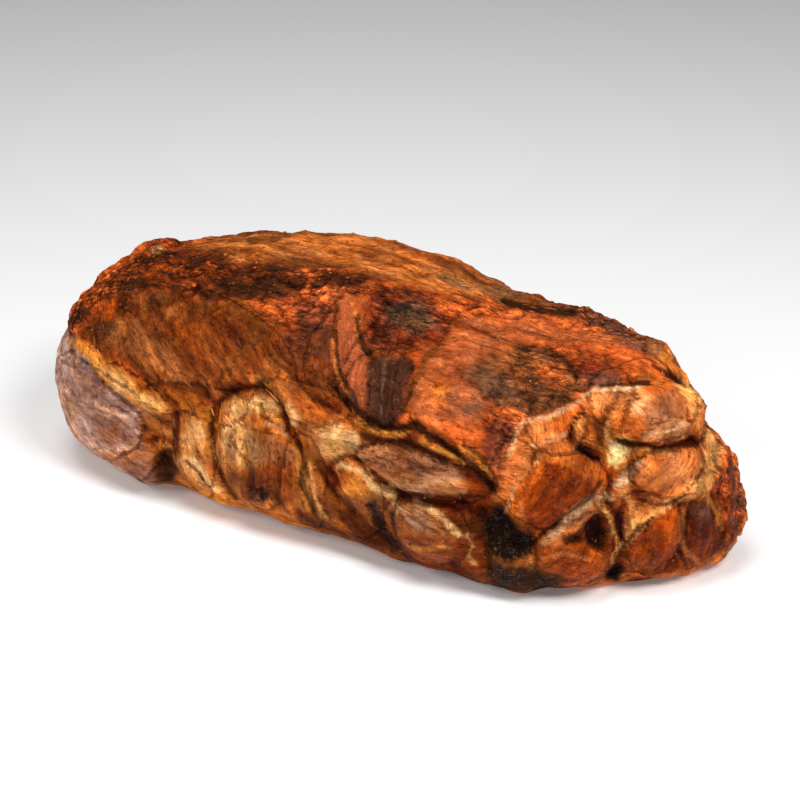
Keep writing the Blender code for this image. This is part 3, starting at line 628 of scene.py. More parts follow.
DARK_LINES = {
    "wedge_edge": ("crack", 0.8, 0.5, -0.5, [638, 441, 656, 426, 676, 416, 692, 420]),
    "block_streak_left": ("char", 0.8, 0.8, -0.4, [371, 362, 370, 380, 368, 402]),
    "block_streak_middle": ("char_grey", 0.9, 0.8, 0.4, [384, 358, 383, 384, 380, 416]),
    "block_streak_right": ("char", 0.8, 0.8, -0.4, [397, 364, 394, 386, 390, 418]),
    "flap_crease": ("crack", 0.5, 0.8, -0.8, [722, 470, 736, 474, 748, 484]),
    "flap_crease_low": ("crack", 0.5, 0.8, -0.8, [720, 500, 734, 500, 748, 510]),
    "flap_crease_foot": ("crack", 0.5, 0.8, -0.8, [720, 528, 732, 526, 742, 530]),
    "flap_crease_long": ("crack", 0.7, 0.8, -0.8, [728, 452, 734, 480, 730, 515, 722, 552]),
    "strip_right": ("char", 0.9, 0.9, -0.8, [357, 318, 361, 336, 366, 350, 374, 358]),
    "strip_left": ("char", 0.8, 0.8, -0.8, [336, 300, 335, 330, 337, 356, 342, 376, 356, 404]),
    "top_slit": ("black_gap", 0.9, 0.8, -1.0, [183, 291, 200, 287]),
    # Painted shadow along the foot of the fat cap.
    "cap_foot_shadow": ("crack", 0.95, 1.3, -1.8, [334, 388, 346, 400, 362, 413, 378, 423, 400, 428, 416, 424]),
    "cap_foot_shadow_end": ("crack", 0.95, 1.2, -1.5, [416, 426, 440, 440, 464, 458, 484, 476, 494, 490]),
    "cap_lip": ("crack", 0.8, 0.8, -0.8, [464, 444, 478, 450, 490, 466, 496, 484]),
    "block_right": ("side_brown", 0.9, 1.2, 0, [438, 346, 424, 364, 414, 386, 404, 412]),
    "olive_slit": ("black_gap", 0.9, 0.8, -1.0, [552, 352, 564, 358, 573, 370, 577, 380]),
    "far_crag_line": ("char", 0.9, 1.3, -0.5, [506, 300, 516, 306, 540, 309, 572, 313]),
    "far_top_line": ("olive", 0.8, 1.3, 0, [440, 278, 466, 284, 492, 291, 512, 294]),
    "top_brown_line": ("deep_brown", 0.7, 1.2, 0, [250, 241, 268, 239, 290, 236]),
    "top_brown_line_low": ("deep_brown", 0.6, 1.4, 0, [262, 264, 300, 262, 340, 268]),
    "end_line": ("char", 0.8, 0.8, -0.5, [654, 366, 670, 374, 686, 386]),
    "fold_line": ("crack", 0.9, 0.7, -0.6, [600, 386, 620, 384, 650, 385]),
    "stripe_crack": ("crack", 0.9, 0.6, -0.8, [112, 362, 130, 372, 150, 384, 166, 400]),
    "stripe_foot": ("crack", 0.6, 0.8, -0.8, [82, 360, 104, 384, 130, 405, 144, 420]),
    "lean_wrinkle": ("grey_lean", 0.8, 0.8, -0.6, [64, 362, 84, 370, 104, 386, 122, 398]),
    "lean_wrinkle_low": ("grey_lean", 0.7, 0.7, -0.5, [84, 404, 104, 412, 124, 424, 138, 436]),
    "lean_side": ("crack", 0.8, 0.7, -0.8, [144, 424, 142, 438, 134, 450, 118, 457]),
    "wrinkled_high": ("ochre", 0.9, 0.8, -0.6, [146, 424, 160, 422, 174, 430]),
    "wrinkled_low": ("cut_brown", 0.9, 0.8, -0.6, [146, 440, 160, 438, 176, 444]),
    "ochre_fold": ("cut_brown", 0.9, 0.9, -0.8, [164, 396, 174, 406, 178, 420, 177, 450]),
    "column_side": ("deep_brown", 0.7, 0.8, -1.5, [214, 406, 211, 425, 212, 446, 218, 464, 226, 482,
        236, 498]),
    "column_crack": ("crack", 0.8, 0.7, -0.6, [186, 462, 196, 472, 208, 486]),
    "round_top": ("crack", 0.7, 0.8, -1.6, [219, 402, 230, 392, 246, 387, 266, 388, 280, 404, 292, 432]),
    "round_crack": ("crack", 0.6, 0.8, -0.8, [262, 404, 264, 416, 274, 424, 288, 430]),
    "round_crack_low": ("crack", 0.5, 0.7, -0.6, [252, 428, 270, 433, 288, 437]),
    "round_arc": ("cut_brown", 0.7, 0.7, -0.5, [232, 436, 238, 450, 246, 458]),
    "round_right": ("crack", 0.7, 0.7, -1.2, [298, 440, 302, 456, 306, 466, 310, 480]),
    "shank_top": ("crack", 0.7, 0.8, -0.6, [276, 362, 296, 380, 318, 400, 340, 412]),
    "long_top": ("deep_brown", 0.8, 0.8, -0.8, [362, 448, 384, 442, 410, 450, 444, 462]),
    "long_line": ("deep_brown", 0.8, 0.6, -0.5, [366, 459, 386, 459, 410, 460]),
    "long_line_low": ("deep_brown", 0.7, 0.6, -0.5, [396, 474, 420, 468, 446, 470]),
    "long_foot": ("crack", 0.7, 0.8, -1.0, [396, 490, 420, 494, 444, 498, 466, 500]),
    "crossing_top": ("crack", 0.9, 0.7, -0.6, [352, 457, 366, 464, 376, 476, 386, 484]),
    "small_side": ("deep_brown", 0.7, 0.8, -1.2, [316, 462, 326, 480, 338, 496, 354, 512]),
    "streaky_line": ("crack", 0.8, 0.8, -0.8, [302, 470, 304, 490, 314, 510]),
    "black_crease": ("black_gap", 0.95, 1.7, -1.8, [372, 506, 378, 520, 386, 536, 394, 548]),
    "lower_side": ("crack", 0.8, 0.9, -1.0, [398, 500, 393, 518, 398, 540, 410, 560]),
    "lower_stripe": ("cut_brown", 0.7, 0.7, -0.4, [406, 538, 426, 540, 450, 538]),
    "corner_side": ("crack", 0.9, 1.0, -1.0, [486, 546, 489, 562, 492, 582]),
    "oval_side": ("crack", 0.95, 0.8, -0.8, [571, 438, 574, 422, 584, 410]),
    "oval_foot": ("black_gap", 0.95, 1.0, -1.2, [578, 447, 588, 454, 598, 459]),
    # A painted shadow line under the upper lobe, in the crack tone.
    "upper_lobe_shadow": ("crack", 0.8, 0.8, -1.2, [616, 441, 640, 445, 664, 448, 692, 438]),
    "middle_top": ("crack", 0.8, 0.7, -0.6, [632, 464, 648, 453, 670, 449, 698, 447]),
    "middle_side": ("crack", 0.8, 0.8, -1.0, [640, 500, 662, 505, 684, 494, 702, 470]),
    "large_foot": ("crack", 0.8, 0.6, -1.0, [602, 480, 582, 502, 552, 524, 532, 544]),
    "lower_end_side": ("crack", 0.9, 0.9, -1.2, [622, 548, 636, 532, 652, 520]),
    "knot_in": ("crack", 0.9, 0.8, -0.8, [606, 500, 616, 514, 622, 536]),
    "flap_side": ("crack", 0.5, 0.7, -0.5, [716, 452, 716, 480, 722, 520, 718, 552]),
    "upper_side": ("crack", 0.8, 0.8, -1.0, [704, 432, 700, 440, 688, 444]),
}

# Areas and lines of the hidden sides: tone, strength, then a place, half length, half height and
# turn, or a kind of place, half width and the way they run.
HIDDEN_AREAS = {
    # Painted light: the paler lit glaze of the top carried on round the back.
    "lit_back": ("glaze_pale", 0.6, ("round", -10, -45), 90, 10, 0),
    "char_back": ("char", 0.6, ("round", -30, -62), 50, 4, 3),
    "char_end": ("char", 0.6, ("round", 60, -58), 24, 5, -6),
    "brown_back": ("lower_tan", 0.7, ("round", -70, -30), 34, 14, 10),
    "olive_back": ("olive", 0.6, ("round", 28, -26), 26, 10, -6),
    "dark_back": ("purple_brown", 0.7, ("round", 62, -40), 22, 9, 8),
    "pale_back_low": ("side_pale", 0.6, ("round", -24, -54), 44, 8, 4),
    "charred_back_tail": ("charcoal", 0.7, ("round", -98, -46), 20, 8, -10),
    "brown_shoulder": ("side_brown", 0.7, ("round", 66, -64), 30, 7, 5),
    "far_tail_muscle": ("pink_lean", 0.8, ("round", -100, -100), 28, 22, 8),
    "far_round_muscle": ("tan", 0.8, ("round", -52, -98), 20, 22, -10),
    "far_long_muscle": ("grey_tan", 0.8, ("round", -4, -96), 28, 14, 6),
    "far_shoulder_muscle": ("tan", 0.8, ("round", 52, -100), 22, 22, -8),
    "far_corner_muscle": ("cut_brown", 0.8, ("round", 94, -96), 18, 22, 0),
    "far_tail_silver": ("silver", 0.6, ("round", -96, -90), 14, 5, 20),
    "far_round_gold": ("gold_fat", 0.6, ("round", -58, -90), 12, 7, -30),
    "far_round_brown": ("cut_brown", 0.6, ("round", -50, -112), 16, 7, 6),
    "far_long_brown": ("side_brown", 0.7, ("round", -14, -102), 16, 5, -12),
    "far_shoulder_gold": ("cream", 0.5, ("round", 42, -86), 14, 5, -16),
    "far_shoulder_brown": ("cut_brown", 0.6, ("round", 60, -108), 16, 8, 14),
    "far_foot_tail": ("foot_brown", 0.6, ("round", -84, -126), 40, 5, 0),
    "far_foot": ("foot_brown", 0.6, ("round", 30, -126), 60, 5, 0),
    "tail_meat": ("pink_lean", 0.8, ("tail", -30, 30), 26, 22, 0),
    "tail_middle_meat": ("grey_tan", 0.8, ("tail", 16, 28), 24, 22, 10),
}
HIDDEN_LINES = {
    "far_seam_tail": ("cream", 0.8, "round", 2.0, [(-78, -74), (-74, -92), (-80, -116)]),
    "far_seam_round": ("gold_fat", 0.8, "round", 1.8, [(-33, -73), (-31, -90), (-38, -116)]),
    "far_seam_shoulder": ("cream", 0.8, "round", 1.8, [(26, -74), (29, -94), (23, -116)]),
    "far_seam_corner": ("gold_fat", 0.8, "round", 1.8, [(75, -72), (77, -92), (71, -116)]),
    "far_seam_low": ("gold_fat", 0.7, "round", 1.4, [(-28, -112), (2, -109), (26, -112)]),
    "far_cap_gold": ("gold_fat", 0.8, "round", 1.3, [(-72, -76), (-52, -84), (-34, -80)]),
    "far_cap_cream": ("cream", 0.6, "round", 1.2, [(2, -82), (20, -87), (38, -82), (54, -78)]),
    "far_streak_tail": ("silver", 0.7, "round", 0.8, [(-118, -104), (-104, -94), (-88, -98)]),
    "far_streak_round": ("cream", 0.6, "round", 0.8, [(-66, -100), (-54, -94), (-42, -102)]),
    "far_streak_long": ("silver", 0.7, "round", 0.8, [(-24, -90), (-6, -94), (16, -90)]),
    "far_streak_shoulder": ("cream", 0.6, "round", 0.8, [(36, -106), (50, -98), (66, -102)]),
    "far_streak_corner": ("seam_fat", 0.7, "round", 0.9, [(84, -86), (92, -98), (88, -114)]),
    "tail_fold_fat": ("cream", 0.8, "tail", 1.8, [(-44, 51), (-12, 52), (18, 55), (38, 51)]),
    "tail_split_fat": ("gold_fat", 0.8, "tail", 1.4, [(-9, 8), (-8, 30), (-5, 50)]),
}

# Where fibres run: place, half length, half height, the fibres' turn in degrees.
FIBRES = {
    "side": (("round", -72, 62), 60, 22, -38),
    "side_low": (("round", -50, 78), 34, 10, -50),
    "strip": (("round", -4, 40), 9, 26, -62),
    "block": (("round", 19, 56), 12, 14, -82),
    "shank": (("round", -12, 68), 22, 7, -32),
    "tail_lean": (("round", -102, 98), 32, 26, -18),
    "column": (("round", -56, 98), 10, 24, -78),
    "round_muscle": (("round", -29, 92), 17, 24, 86),
    "streaky": (("round", -7, 100), 10, 20, -74),
    "small": (("round", 14, 100), 13, 16, -48),
    "long": (("round", 40, 83), 26, 10, -4),
    "lower": (("round", 43, 105), 17, 14, -12),
    "rim_low": (("round", 73, 74), 8, 12, 8),
    "rim_mid": (("round", 82, 50), 10, 9, -60),
    "rim_top": (("round", 94, 24), 9, 12, -80),
    "large": (("cut", -39, 46), 19, 14, 62),
    "upper": (("round", 103, 14), 15, 16, 10),
    "middle": (("cut", -10, 50), 14, 11, 60),
    "lower_cut": (("cut", -14, 24), 10, 16, 78),
    "dark_cut": (("cut", 1, 27), 8, 18, 84),
    "flap": (("cut", 26, 32), 20, 30, 70),
    "knot": (("cut", -33, 22), 15, 16, 30),
}

# Patches of bare meat or glaze with hardly any crust.
SMOOTH_PATCHES = (
    "strip", "dark_block", "field", "side", "lit_top", "rim", "large", "upper", "middle",
    "tail_lean", "round", "shank", "long", "lower", "column", "stripe", "low_orange",
    "streaked_orange", "gold_end",
)

# How strongly fibres, crust grain and moisture show on the plain sides, on the fat cap, and at
# places with their half length and half height. Smooth patches lose a share of the crust grain.
PLAIN_GRAIN = (0.6, 0.1, 0.4)
CAP_GRAIN = (0.75, 0.75, 0.35)
GRAIN_EDGE = 4.0
GRAIN_STEEPNESS = 1.6
SMOOTHING = 0.85
GRAINS = {
    "tail_crust": (("round", -114, 48), 22, 28, 0.3, 1.0, 0.3),
    "crags": (("round", -84, 24), 42, 14, 0.3, 1.0, 0.35),
    "dark_band": (("round", -40, 18), 30, 16, 0.4, 1.0, 0.3),
    "side": (("round", -72, 64), 52, 20, 1.0, 0.2, 0.25),
    "lit_top": (("round", -10, -28), 80, 14, 0.9, 0.2, 0.45),
    "strip": (("round", -4, 40), 8, 24, 0.5, 0.1, 0.6),
    "field": (("round", 42, 40), 20, 26, 0.8, 0.35, 0.5),
    "far_crags": (("round", 74, -34), 26, 10, 0.4, 1.0, 0.4),
    "tail_lean": (("round", -102, 98), 34, 28, 0.6, 0.05, 0.3),
    "column": (("round", -56, 96), 14, 24, 0.6, 0.05, 0.6),
    "round_muscle": (("round", -29, 92), 18, 24, 0.8, 0.25, 0.5),
    "cream": (("round", 2, 80), 18, 10, 0.5, 0.05, 0.5),
    "long": (("round", 40, 84), 28, 12, 1.0, 0.05, 0.35),
    "lower": (("round", 42, 104), 18, 14, 0.7, 0.05, 0.6),
    "wet_corner": (("round", 72, 104), 12, 20, 0.1, 0.3, 1.0),
    "end_near": (("cut", -36, 42), 26, 26, 0.6, 0.1, 0.85),
    "end_low": (("cut", -30, 20), 24, 20, 0.5, 0.3, 0.8),
    "end_middle": (("cut", -8, 38), 22, 34, 0.6, 0.1, 0.75),
    "end_flap": (("cut", 26, 32), 24, 34, 0.4, 0.9, 0.6),
    "end_top": (("round", 102, 14), 20, 22, 0.5, 0.15, 0.8),
}

# Where crumbs of crust, beads of fat and torn strands lie: strength, place, half length and half
# height, then how steeply they thin out and the size of the bare stretches between them.
CRUMB_SPOTS = {
    "tail": (1.0, ("round", -112, 46), 26, 30),
    "crags": (1.0, ("round", -78, 26), 50, 15),
    "band": (0.8, ("round", -26, 22), 36, 16),
    "far_crags": (1.0, ("round", 80, -34), 30, 12),
    "far_top": (0.6, ("round", 30, -50), 60, 12),
    "flap": (0.7, ("cut", 26, 32), 16, 28),
    "far_tail": (0.8, ("round", -80, -40), 40, 18),
}
BEAD_SPOTS = {
    "wet_corner": (1.0, ("round", 72, 100), 12, 24),
    "knot": (1.0, ("cut", -30, 22), 20, 18),
    "large": (0.6, ("cut", -38, 46), 22, 18),
    "rim": (0.8, ("round", 80, 50), 16, 30),
    "upper": (0.5, ("round", 102, 10), 20, 20),
    "low_end": (0.6, ("cut", -4, 28), 26, 28),
    "lower": (0.6, ("round", 44, 100), 24, 16),
    "round": (0.3, ("round", -30, 82), 22, 14),
}
STRAND_SPOTS = {
    "side": (1.0, ("round", -72, 62), 52, 18),
    "side_low": (0.8, ("round", -48, 76), 32, 10),
    "shank": (0.6, ("round", -12, 68), 20, 7),
    "top": (0.6, ("round", -10, -20), 80, 18),
    "long": (0.5, ("round", 40, 83), 24, 9),
}
BIT_STEEPNESS = 1.5
BARE_SIZE = 6.0

# The loose bits: the field that they follow, seed, shape, size of the smallest as a share of the
# largest, dents, turns about the fibres' way in radians, tint of their tips, wetness.
BITS = {
    "crust_crumbs": {
        "field": "crumbs", "seed": 4, "shape": (1.0, 0.75, 0.45), "smallest": 0.35,
        "dents": 0.9, "dent size": 1.3, "least turn": (-0.3, -0.3, -3.1),
        "most turn": (0.3, 0.3, 3.1), "tips": (1.4, 1.3, 1.15), "wetness": 0.3,
    },
    "fat_beads": {
        "field": "beads", "seed": 9, "shape": (1.0, 0.9, 0.4), "smallest": 0.35,
        "dents": 0.35, "dent size": 1.0, "least turn": (0.0, 0.0, -3.1),
        "most turn": (0.0, 0.0, 3.1), "tips": (1.5, 1.5, 1.6), "wetness": 1.0,
    },
    "meat_strands": {
        "field": "strands", "seed": 2, "shape": (1.0, 0.12, 0.09), "smallest": 0.4,
        "dents": 0.5, "dent size": 0.9, "least turn": (0.0, -0.06, -0.25),
        "most turn": (0.0, 0.06, 0.25), "tips": (1.5, 1.5, 1.4), "wetness": 0.3,
    },
}

# The studio: soft lights as direction in degrees, distance, size and power, the height that they
# look at, the strength of the light from all round, and the half size of the floor, in metres.
LIGHTS = {
    "key": ((70, 50), 0.9, 0.3, 5.0),
    "overhead": ((0, 75), 1.0, 0.45, 4.8),
    "fill": ((-20, 35), 1.1, 0.4, 3.4),
}
LIT_HEIGHT = 0.04
ROUND_LIGHT = 0.1
FLOOR_HALF = 4.0


def smooth_curve(at, stations, values):
    """Values between stations, on a cubic whose slopes follow the neighbours."""
    s = np.asarray(stations, float)
    v = np.asarray(values, float)
    slope = np.gradient(v, s)
    at = np.clip(at, s[0], s[-1])
    i = np.clip(np.searchsorted(s, at) - 1, 0, len(s) - 2)
    step = s[i + 1] - s[i]
    t = (at - s[i]) / step
    rise = t * t * (3 - 2 * t)
    ends = (1 - rise) * v[i] + rise * v[i + 1]
    return ends + step * t * (1 - t) * ((1 - t) * slope[i] - t * slope[i + 1])


def ease(t):
    """0 to 1 with a soft start and a soft stop."""
    t = np.clip(t, 0, 1)
    return t * t * (3 - 2 * t)


def crossing(distance, width):
    """0 to 1 across an edge of some width, 0.5 on the edge itself."""
    return ease(distance / width + 0.5)


def mixed(base, over, share):
    """A base with something over it, by a share from 0 to 1."""
    return base * (1 - share) + over * share


def cube_grid(cells):
    """A cube from -1 to 1 whose faces are cut into a grid, as a bmesh."""
    bm = bmesh.new()
    bmesh.ops.create_cube(bm, size=2)
    for axis, count in enumerate(cells):
        along = [e for e in bm.edges if abs((e.verts[1].co - e.verts[0].co)[axis]) > 1e-6]
        bmesh.ops.subdivide_edges(bm, edges=along, cuts=count - 1, use_grid_fill=True)
    return bm


def points_of(bm):
    return np.array([v.co for v in bm.verts])


def normals_of(bm):
    bm.normal_update()
    return np.array([v.normal for v in bm.verts])


def move_points(bm, points):
    for vert, point in zip(bm.verts, points):
        vert.co = point
    bm.normal_update()


def plain_body(cube):
    """The cube's points drawn in to a rounded block with the joint's widths, heights and ends."""
    ring = np.abs(cube[:, 1]) ** SECTION_POWER + np.abs(cube[:, 2]) ** SECTION_POWER
    power = np.where(cube[:, 0] < 0, TAIL_POWER, CUT_POWER)
    size = (ring ** (power / SECTION_POWER) + np.abs(cube[:, 0]) ** power) ** (1 / power)
    along, across, up = (cube / size[:, None]).T
    share = (along + 1) / 2
    tail = smooth_curve(across, ACROSS, TAIL_REACH)
    cut = smooth_curve(across, ACROSS, CUT_REACH)
    width = np.where(
        across < 0, smooth_curve(share, SHARES, NEAR_WIDTH), smooth_curve(share, SHARES, FAR_WIDTH)
    )
    top = smooth_curve(share, SHARES, TOP_HEIGHT)
    z = MIDDLE_HEIGHT + up * np.where(up > 0, top - MIDDLE_HEIGHT, MIDDLE_HEIGHT + UNDERCUT)
    lean = CUT_LEAN * ease((share - LEAN_FROM) / (1 - LEAN_FROM))
    lean *= np.clip(z / top, 0, 1) ** 2 * np.clip(0.5 + across, 0, 1)
    tuck = CUT_TUCK * ease(2 * share - 1) * ease(1 - z / TUCK_HEIGHT)
    x = tail + (cut - tail) * share - lean - tuck
    return np.stack([x, across * width, z], 1)


def place_on(tree, place):
    """The point and outward normal of the plain body at a place."""
    kind, first, second = place
    if kind == "round":
        angle = math.radians(second)
        start = Vector((first, 0, SPINE_HEIGHT))
        ray = Vector((0, -math.sin(angle), math.cos(angle)))
    else:
        start = Vector((0, first, second))
        ray = Vector((1, 0, 0)) if kind == "cut" else Vector((-1, 0, 0))
    point, normal, _, _ = tree.ray_cast(start, ray)
    if point is None:
        raise RuntimeError(f"the place {place} misses the joint's body")
    if normal.dot(ray) < 0:
        normal = -normal
    return np.array(point), np.array(normal)


def local_axes(tree, place, turn):
    """Centre, then the axes along, across and out of the surface, turned by some degrees."""
    centre, normal = place_on(tree, place)
    level = np.array([1.0, 0, 0]) if place[0] == "round" else np.cross([0, 0, 1.0], normal)
    level -= normal * (level @ normal)
    level /= np.linalg.norm(level)
    rise = np.cross(normal, level)
    cos, sin = math.cos(math.radians(turn)), math.sin(math.radians(turn))
    return centre, cos * level + sin * rise, cos * rise - sin * level, normal


def reach_from(points, tree, place, half_length, half_height, turn=0):
    """0 at the centre of an oval on the surface and 1 on its outline, squared."""
    centre, along, across, normal = local_axes(tree, place, turn)
    away = points - centre
    return (
        (away @ along / half_length) ** 2
        + (away @ across / half_height) ** 2
        + (away @ normal / (OVAL_DEPTH * min(half_length, half_height))) ** 2
    )


def swell(points, tree, muscle):
    """How far a muscle lifts each point: a flat dome with a steep rim."""
    *oval, height = muscle
    return height * np.clip(1 - reach_from(points, tree, *oval), 0, 1) ** DOME_POWER


def distance_to_line(points, line):
    """Each point's distance to a line of straight pieces."""
    nearest = np.full(len(points), np.inf)
    for start, end in zip(line[:-1], line[1:]):
        run = end - start
        share = np.clip((points - start) @ run / (run @ run), 0, 1)
        gap = np.linalg.norm(points - start - share[:, None] * run, axis=1)
        nearest = np.minimum(nearest, gap)
    return nearest


def direction(azimuth, elevation):
    """From the joint towards a place around it, by two angles in radians."""
    level = math.cos(elevation)
    return math.sin(azimuth) * level, -math.cos(azimuth) * level, math.sin(elevation)


def camera_axes():
    """The camera's place and its right, up and backward directions."""
    turn, rise = (math.radians(angle) for angle in SEEN_FROM)
    back = np.array(direction(turn, rise))
    right = np.array([math.cos(turn), math.sin(turn), 0.0])
    return np.array(SEEN_TARGET) + SEEN_DISTANCE * back, right, np.cross(back, right), back


def seen(points, normals):
    """Picture points, millimetres per picture point and how much each point faces the camera."""
    eye, right, up, back = camera_axes()
    away = points - eye
    depth = -(away @ back)
    scale = depth * SENSOR / (LENS * PICTURE)
    at = np.stack([away @ right, -(away @ up)], 1) / scale[:, None] + PICTURE / 2
    facing = -(away * normals).sum(1) / np.linalg.norm(away, axis=1)
    return at, scale, ease(facing / FACING_EDGE)


def curved(way, closed):
    """A smooth line through points given as x and y in turn, four steps to each stretch."""
    at = np.array(way, float).reshape(-1, 2)
    last = at[-1:]
    if closed:
        before, after = np.roll(at, 1, 0), np.roll(at, -1, 0)
        ends = after
        beyond = np.roll(at, -2, 0)
    else:
        before = np.vstack([2 * at[0] - at[1], at[:-2]])
        ends = at[1:]
        beyond = np.vstack([at[2:], 2 * at[-1] - at[-2]])
        at = at[:-1]
    run = []
    for t in (0, 0.25, 0.5, 0.75):
        run.append(0.5 * (
            2 * at + (ends - before) * t + (2 * before - 5 * at + 4 * ends - beyond) * t**2
            + (3 * at - before - 3 * ends + beyond) * t**3
        ))
    line = np.stack(run, 1).reshape(-1, 2)
    return np.vstack([line, line[:1] if closed else last])


def picture_gap(at, scale, line):
    """Millimetres from a line in the picture, and which points lie near enough to measure."""
    low, high = line.min(0) - NEAR_LINE, line.max(0) + NEAR_LINE
    near = np.flatnonzero(((at > low) & (at < high)).all(1))
    gap = np.full(len(at), FAR_AWAY)
    gap[near] = distance_to_line(at[near], line) * scale[near]
    return gap, near


def inside_by(at, scale, outline):
    """Millimetres inside a smooth outline in the picture, negative outside."""
    line = curved(outline, True)
    gap, near = picture_gap(at, scale, line)
    x, y = at[near].T
    within = np.zeros(len(near), bool)
    for (x0, y0), (x1, y1) in zip(line[:-1], line[1:]):
        crosses = (y0 > y) != (y1 > y)
        reach = x0 + (y - y0) * (x1 - x0) / (y1 - y0 if y1 != y0 else 1)
        within ^= crosses & (x < reach)
    inside = np.zeros(len(at), bool)
    inside[near] = within
    return np.where(inside, gap, -gap)


def from_line(at, scale, way):
    """Millimetres from a smooth line in the picture."""
    return picture_gap(at, scale, curved(way, False))[0]


def seen_relief(body, normals):
    """Swells, hollows, ridges and creases of the outlines and lines, in millimetres."""
    at, scale, facing = seen(body, normals)
    lift = np.zeros(len(body))
    for _, _, _, height, outline in PATCHES.values():
        if height:
            share = np.clip(inside_by(at, scale, outline) / SWELL_EDGE, 0, 1)
            lift += height * np.sqrt(1 - (1 - share) ** 2)
    for lines in (PALE_LINES, DARK_LINES):
        for _, _, width, height, way in lines.values():
            if height:
                gap = from_line(at, scale, way)
                lift += height * np.exp(-((gap / (LINE_SPREAD * width)) ** 2))
    return lift * facing


def run_on(tree, kind, way):
    """The plain body's points along a line over its surface."""
    return [place_on(tree, (kind, *step))[0] for step in way]


def along_line(points, tree, kind, way, width):
    """1 on a line over the surface, falling to 0 beside it."""
    return np.exp(-((distance_to_line(points, run_on(tree, kind, way)) / width) ** 2))


def inside_cap(points):
    """Millimetres inside the fat cap's near and far edge, negative outside."""
    x, y, z = points.T
    angle = np.degrees(np.arctan2(-y, z - SPINE_HEIGHT))
    near = np.interp(x, *zip(*CAP_EDGE)) - angle
    far = angle - np.interp(x, *zip(*FAR_CAP_EDGE))
    return np.minimum(near, far) * MM_PER_DEGREE


def rough(points, size, seed=(0.0, 0.0, 0.0)):
    """Smooth noise around 0 with lumps of a size."""
    return np.array([noise.noise(p) for p in (points / size + np.array(seed)).tolist()])


def main_form(bm):
    """The body's points with muscles, cap, seams, ridges and pits, and the plain body."""
    cube = points_of(bm)
    body = plain_body(cube + np.array(GRID_PULL) * (1 - cube**2))
    move_points(bm, body)
    tree = BVHTree.FromBMesh(bm)
    normals = normals_of(bm)
    _, _, facing = seen(body, normals)
    share = 1 - (1 - SOLID_SHARE) * facing
    lift = share * np.max([swell(body, tree, muscle) for muscle in MUSCLES.values()], axis=0)
    lift += CAP_STEP * crossing(inside_cap(body), CAP_STEP_WIDTH)
    lift += sum(h * rough(body, size, CRUST_SEED) for size, h in CRUST)
    for height, width, kind, way in RIDGES.values():
        lift += share * height * along_line(body, tree, kind, way, width)
    for depth, width, kind, way in SEAMS.values():
        lift -= share * depth * along_line(body, tree, kind, way, width)
    for place, radius, depth in PITS.values():
        away = np.linalg.norm(body - place_on(tree, place)[0], axis=1)
        lift -= share * depth * np.exp(-((away / radius) ** 4))
    lift += seen_relief(body + normals * lift[:, None], normals)
    move_points(bm, body + normals * lift[:, None])
    bmesh.ops.smooth_vert(
        bm, verts=bm.verts, factor=SOFTENING, use_axis_x=True, use_axis_y=True, use_axis_z=True
    )
    return body, normals, tree


def fibre_places(body, normals, tree):
    """For each point, millimetres along, across and into its fibres, and the way they run."""
    x, y, z = body.T
    arc = np.degrees(np.arctan2(-y, z - SPINE_HEIGHT)) * MM_PER_DEGREE
    places = np.stack([x, arc, np.zeros_like(x)], 1)
    ways = np.tile((1.0, 0.0, 0.0), (len(body), 1))
    ends = np.abs(normals[:, 0]) > END_TURN
    places[ends] = body[ends][:, ::-1]
    ways[ends] = (0.0, 0.0, 1.0)
    nearest = np.ones(len(body))
    for number, (place, half_length, half_height, turn) in enumerate(FIBRES.values(), 1):
        reach = reach_from(body, tree, place, half_length, half_height)
        centre, *axes = local_axes(tree, place, turn)
        local = np.stack([(body - centre) @ axis for axis in axes], 1) + FIBRE_SHIFT * number
        inside = reach < nearest
        places[inside] = local[inside]
        ways[inside] = axes[0]
        nearest = np.where(inside, reach, nearest)
    return places, ways


def grain_strengths(body, shape, normals, tree):
    """Strength of fibres, crust grain and moisture at each point."""
    cap = crossing(inside_cap(body), GRAIN_EDGE)[:, None]
    strengths = mixed(np.tile(PLAIN_GRAIN, (len(body), 1)), np.array(CAP_GRAIN), cap)
    for place, half_length, half_height, *values in GRAINS.values():
        reach = reach_from(body, tree, place, half_length, half_height)
        share = ease(GRAIN_STEEPNESS * (1 - reach))[:, None]
        strengths = mixed(strengths, np.array(values), share)
    at, scale, facing = seen(shape, normals)
    for name in SMOOTH_PATCHES:
        share = facing * crossing(inside_by(at, scale, PATCHES[name][4]), GRAIN_EDGE)
        strengths[:, 1] *= 1 - SMOOTHING * share
    return strengths


def linear(tone):
    """A tone's red, green and blue as light, from 0 to 1."""
    c = np.array(TONES[tone]) / 255
    return np.where(c <= 0.04045, c / 12.92, ((c + 0.055) / 1.055) ** 2.4)


def tones_along(x, steps):
    stations = [station for station, _ in steps]
    colours = np.array([linear(tone) for _, tone in steps])
    return np.stack([np.interp(x, stations, colours[:, i]) for i in range(3)], 1)


def wandering(points):
    """Shifts that make painted outlines stray, in millimetres."""
    broad = np.stack([rough(points, 9, (k * 7.3, 1.7, 4.1)) for k in range(3)], 1)
    fine = np.stack([rough(points, 3.2, (2.9, k * 5.9, 8.3)) for k in range(3)], 1)
    return 5.0 * broad + 2.2 * fine


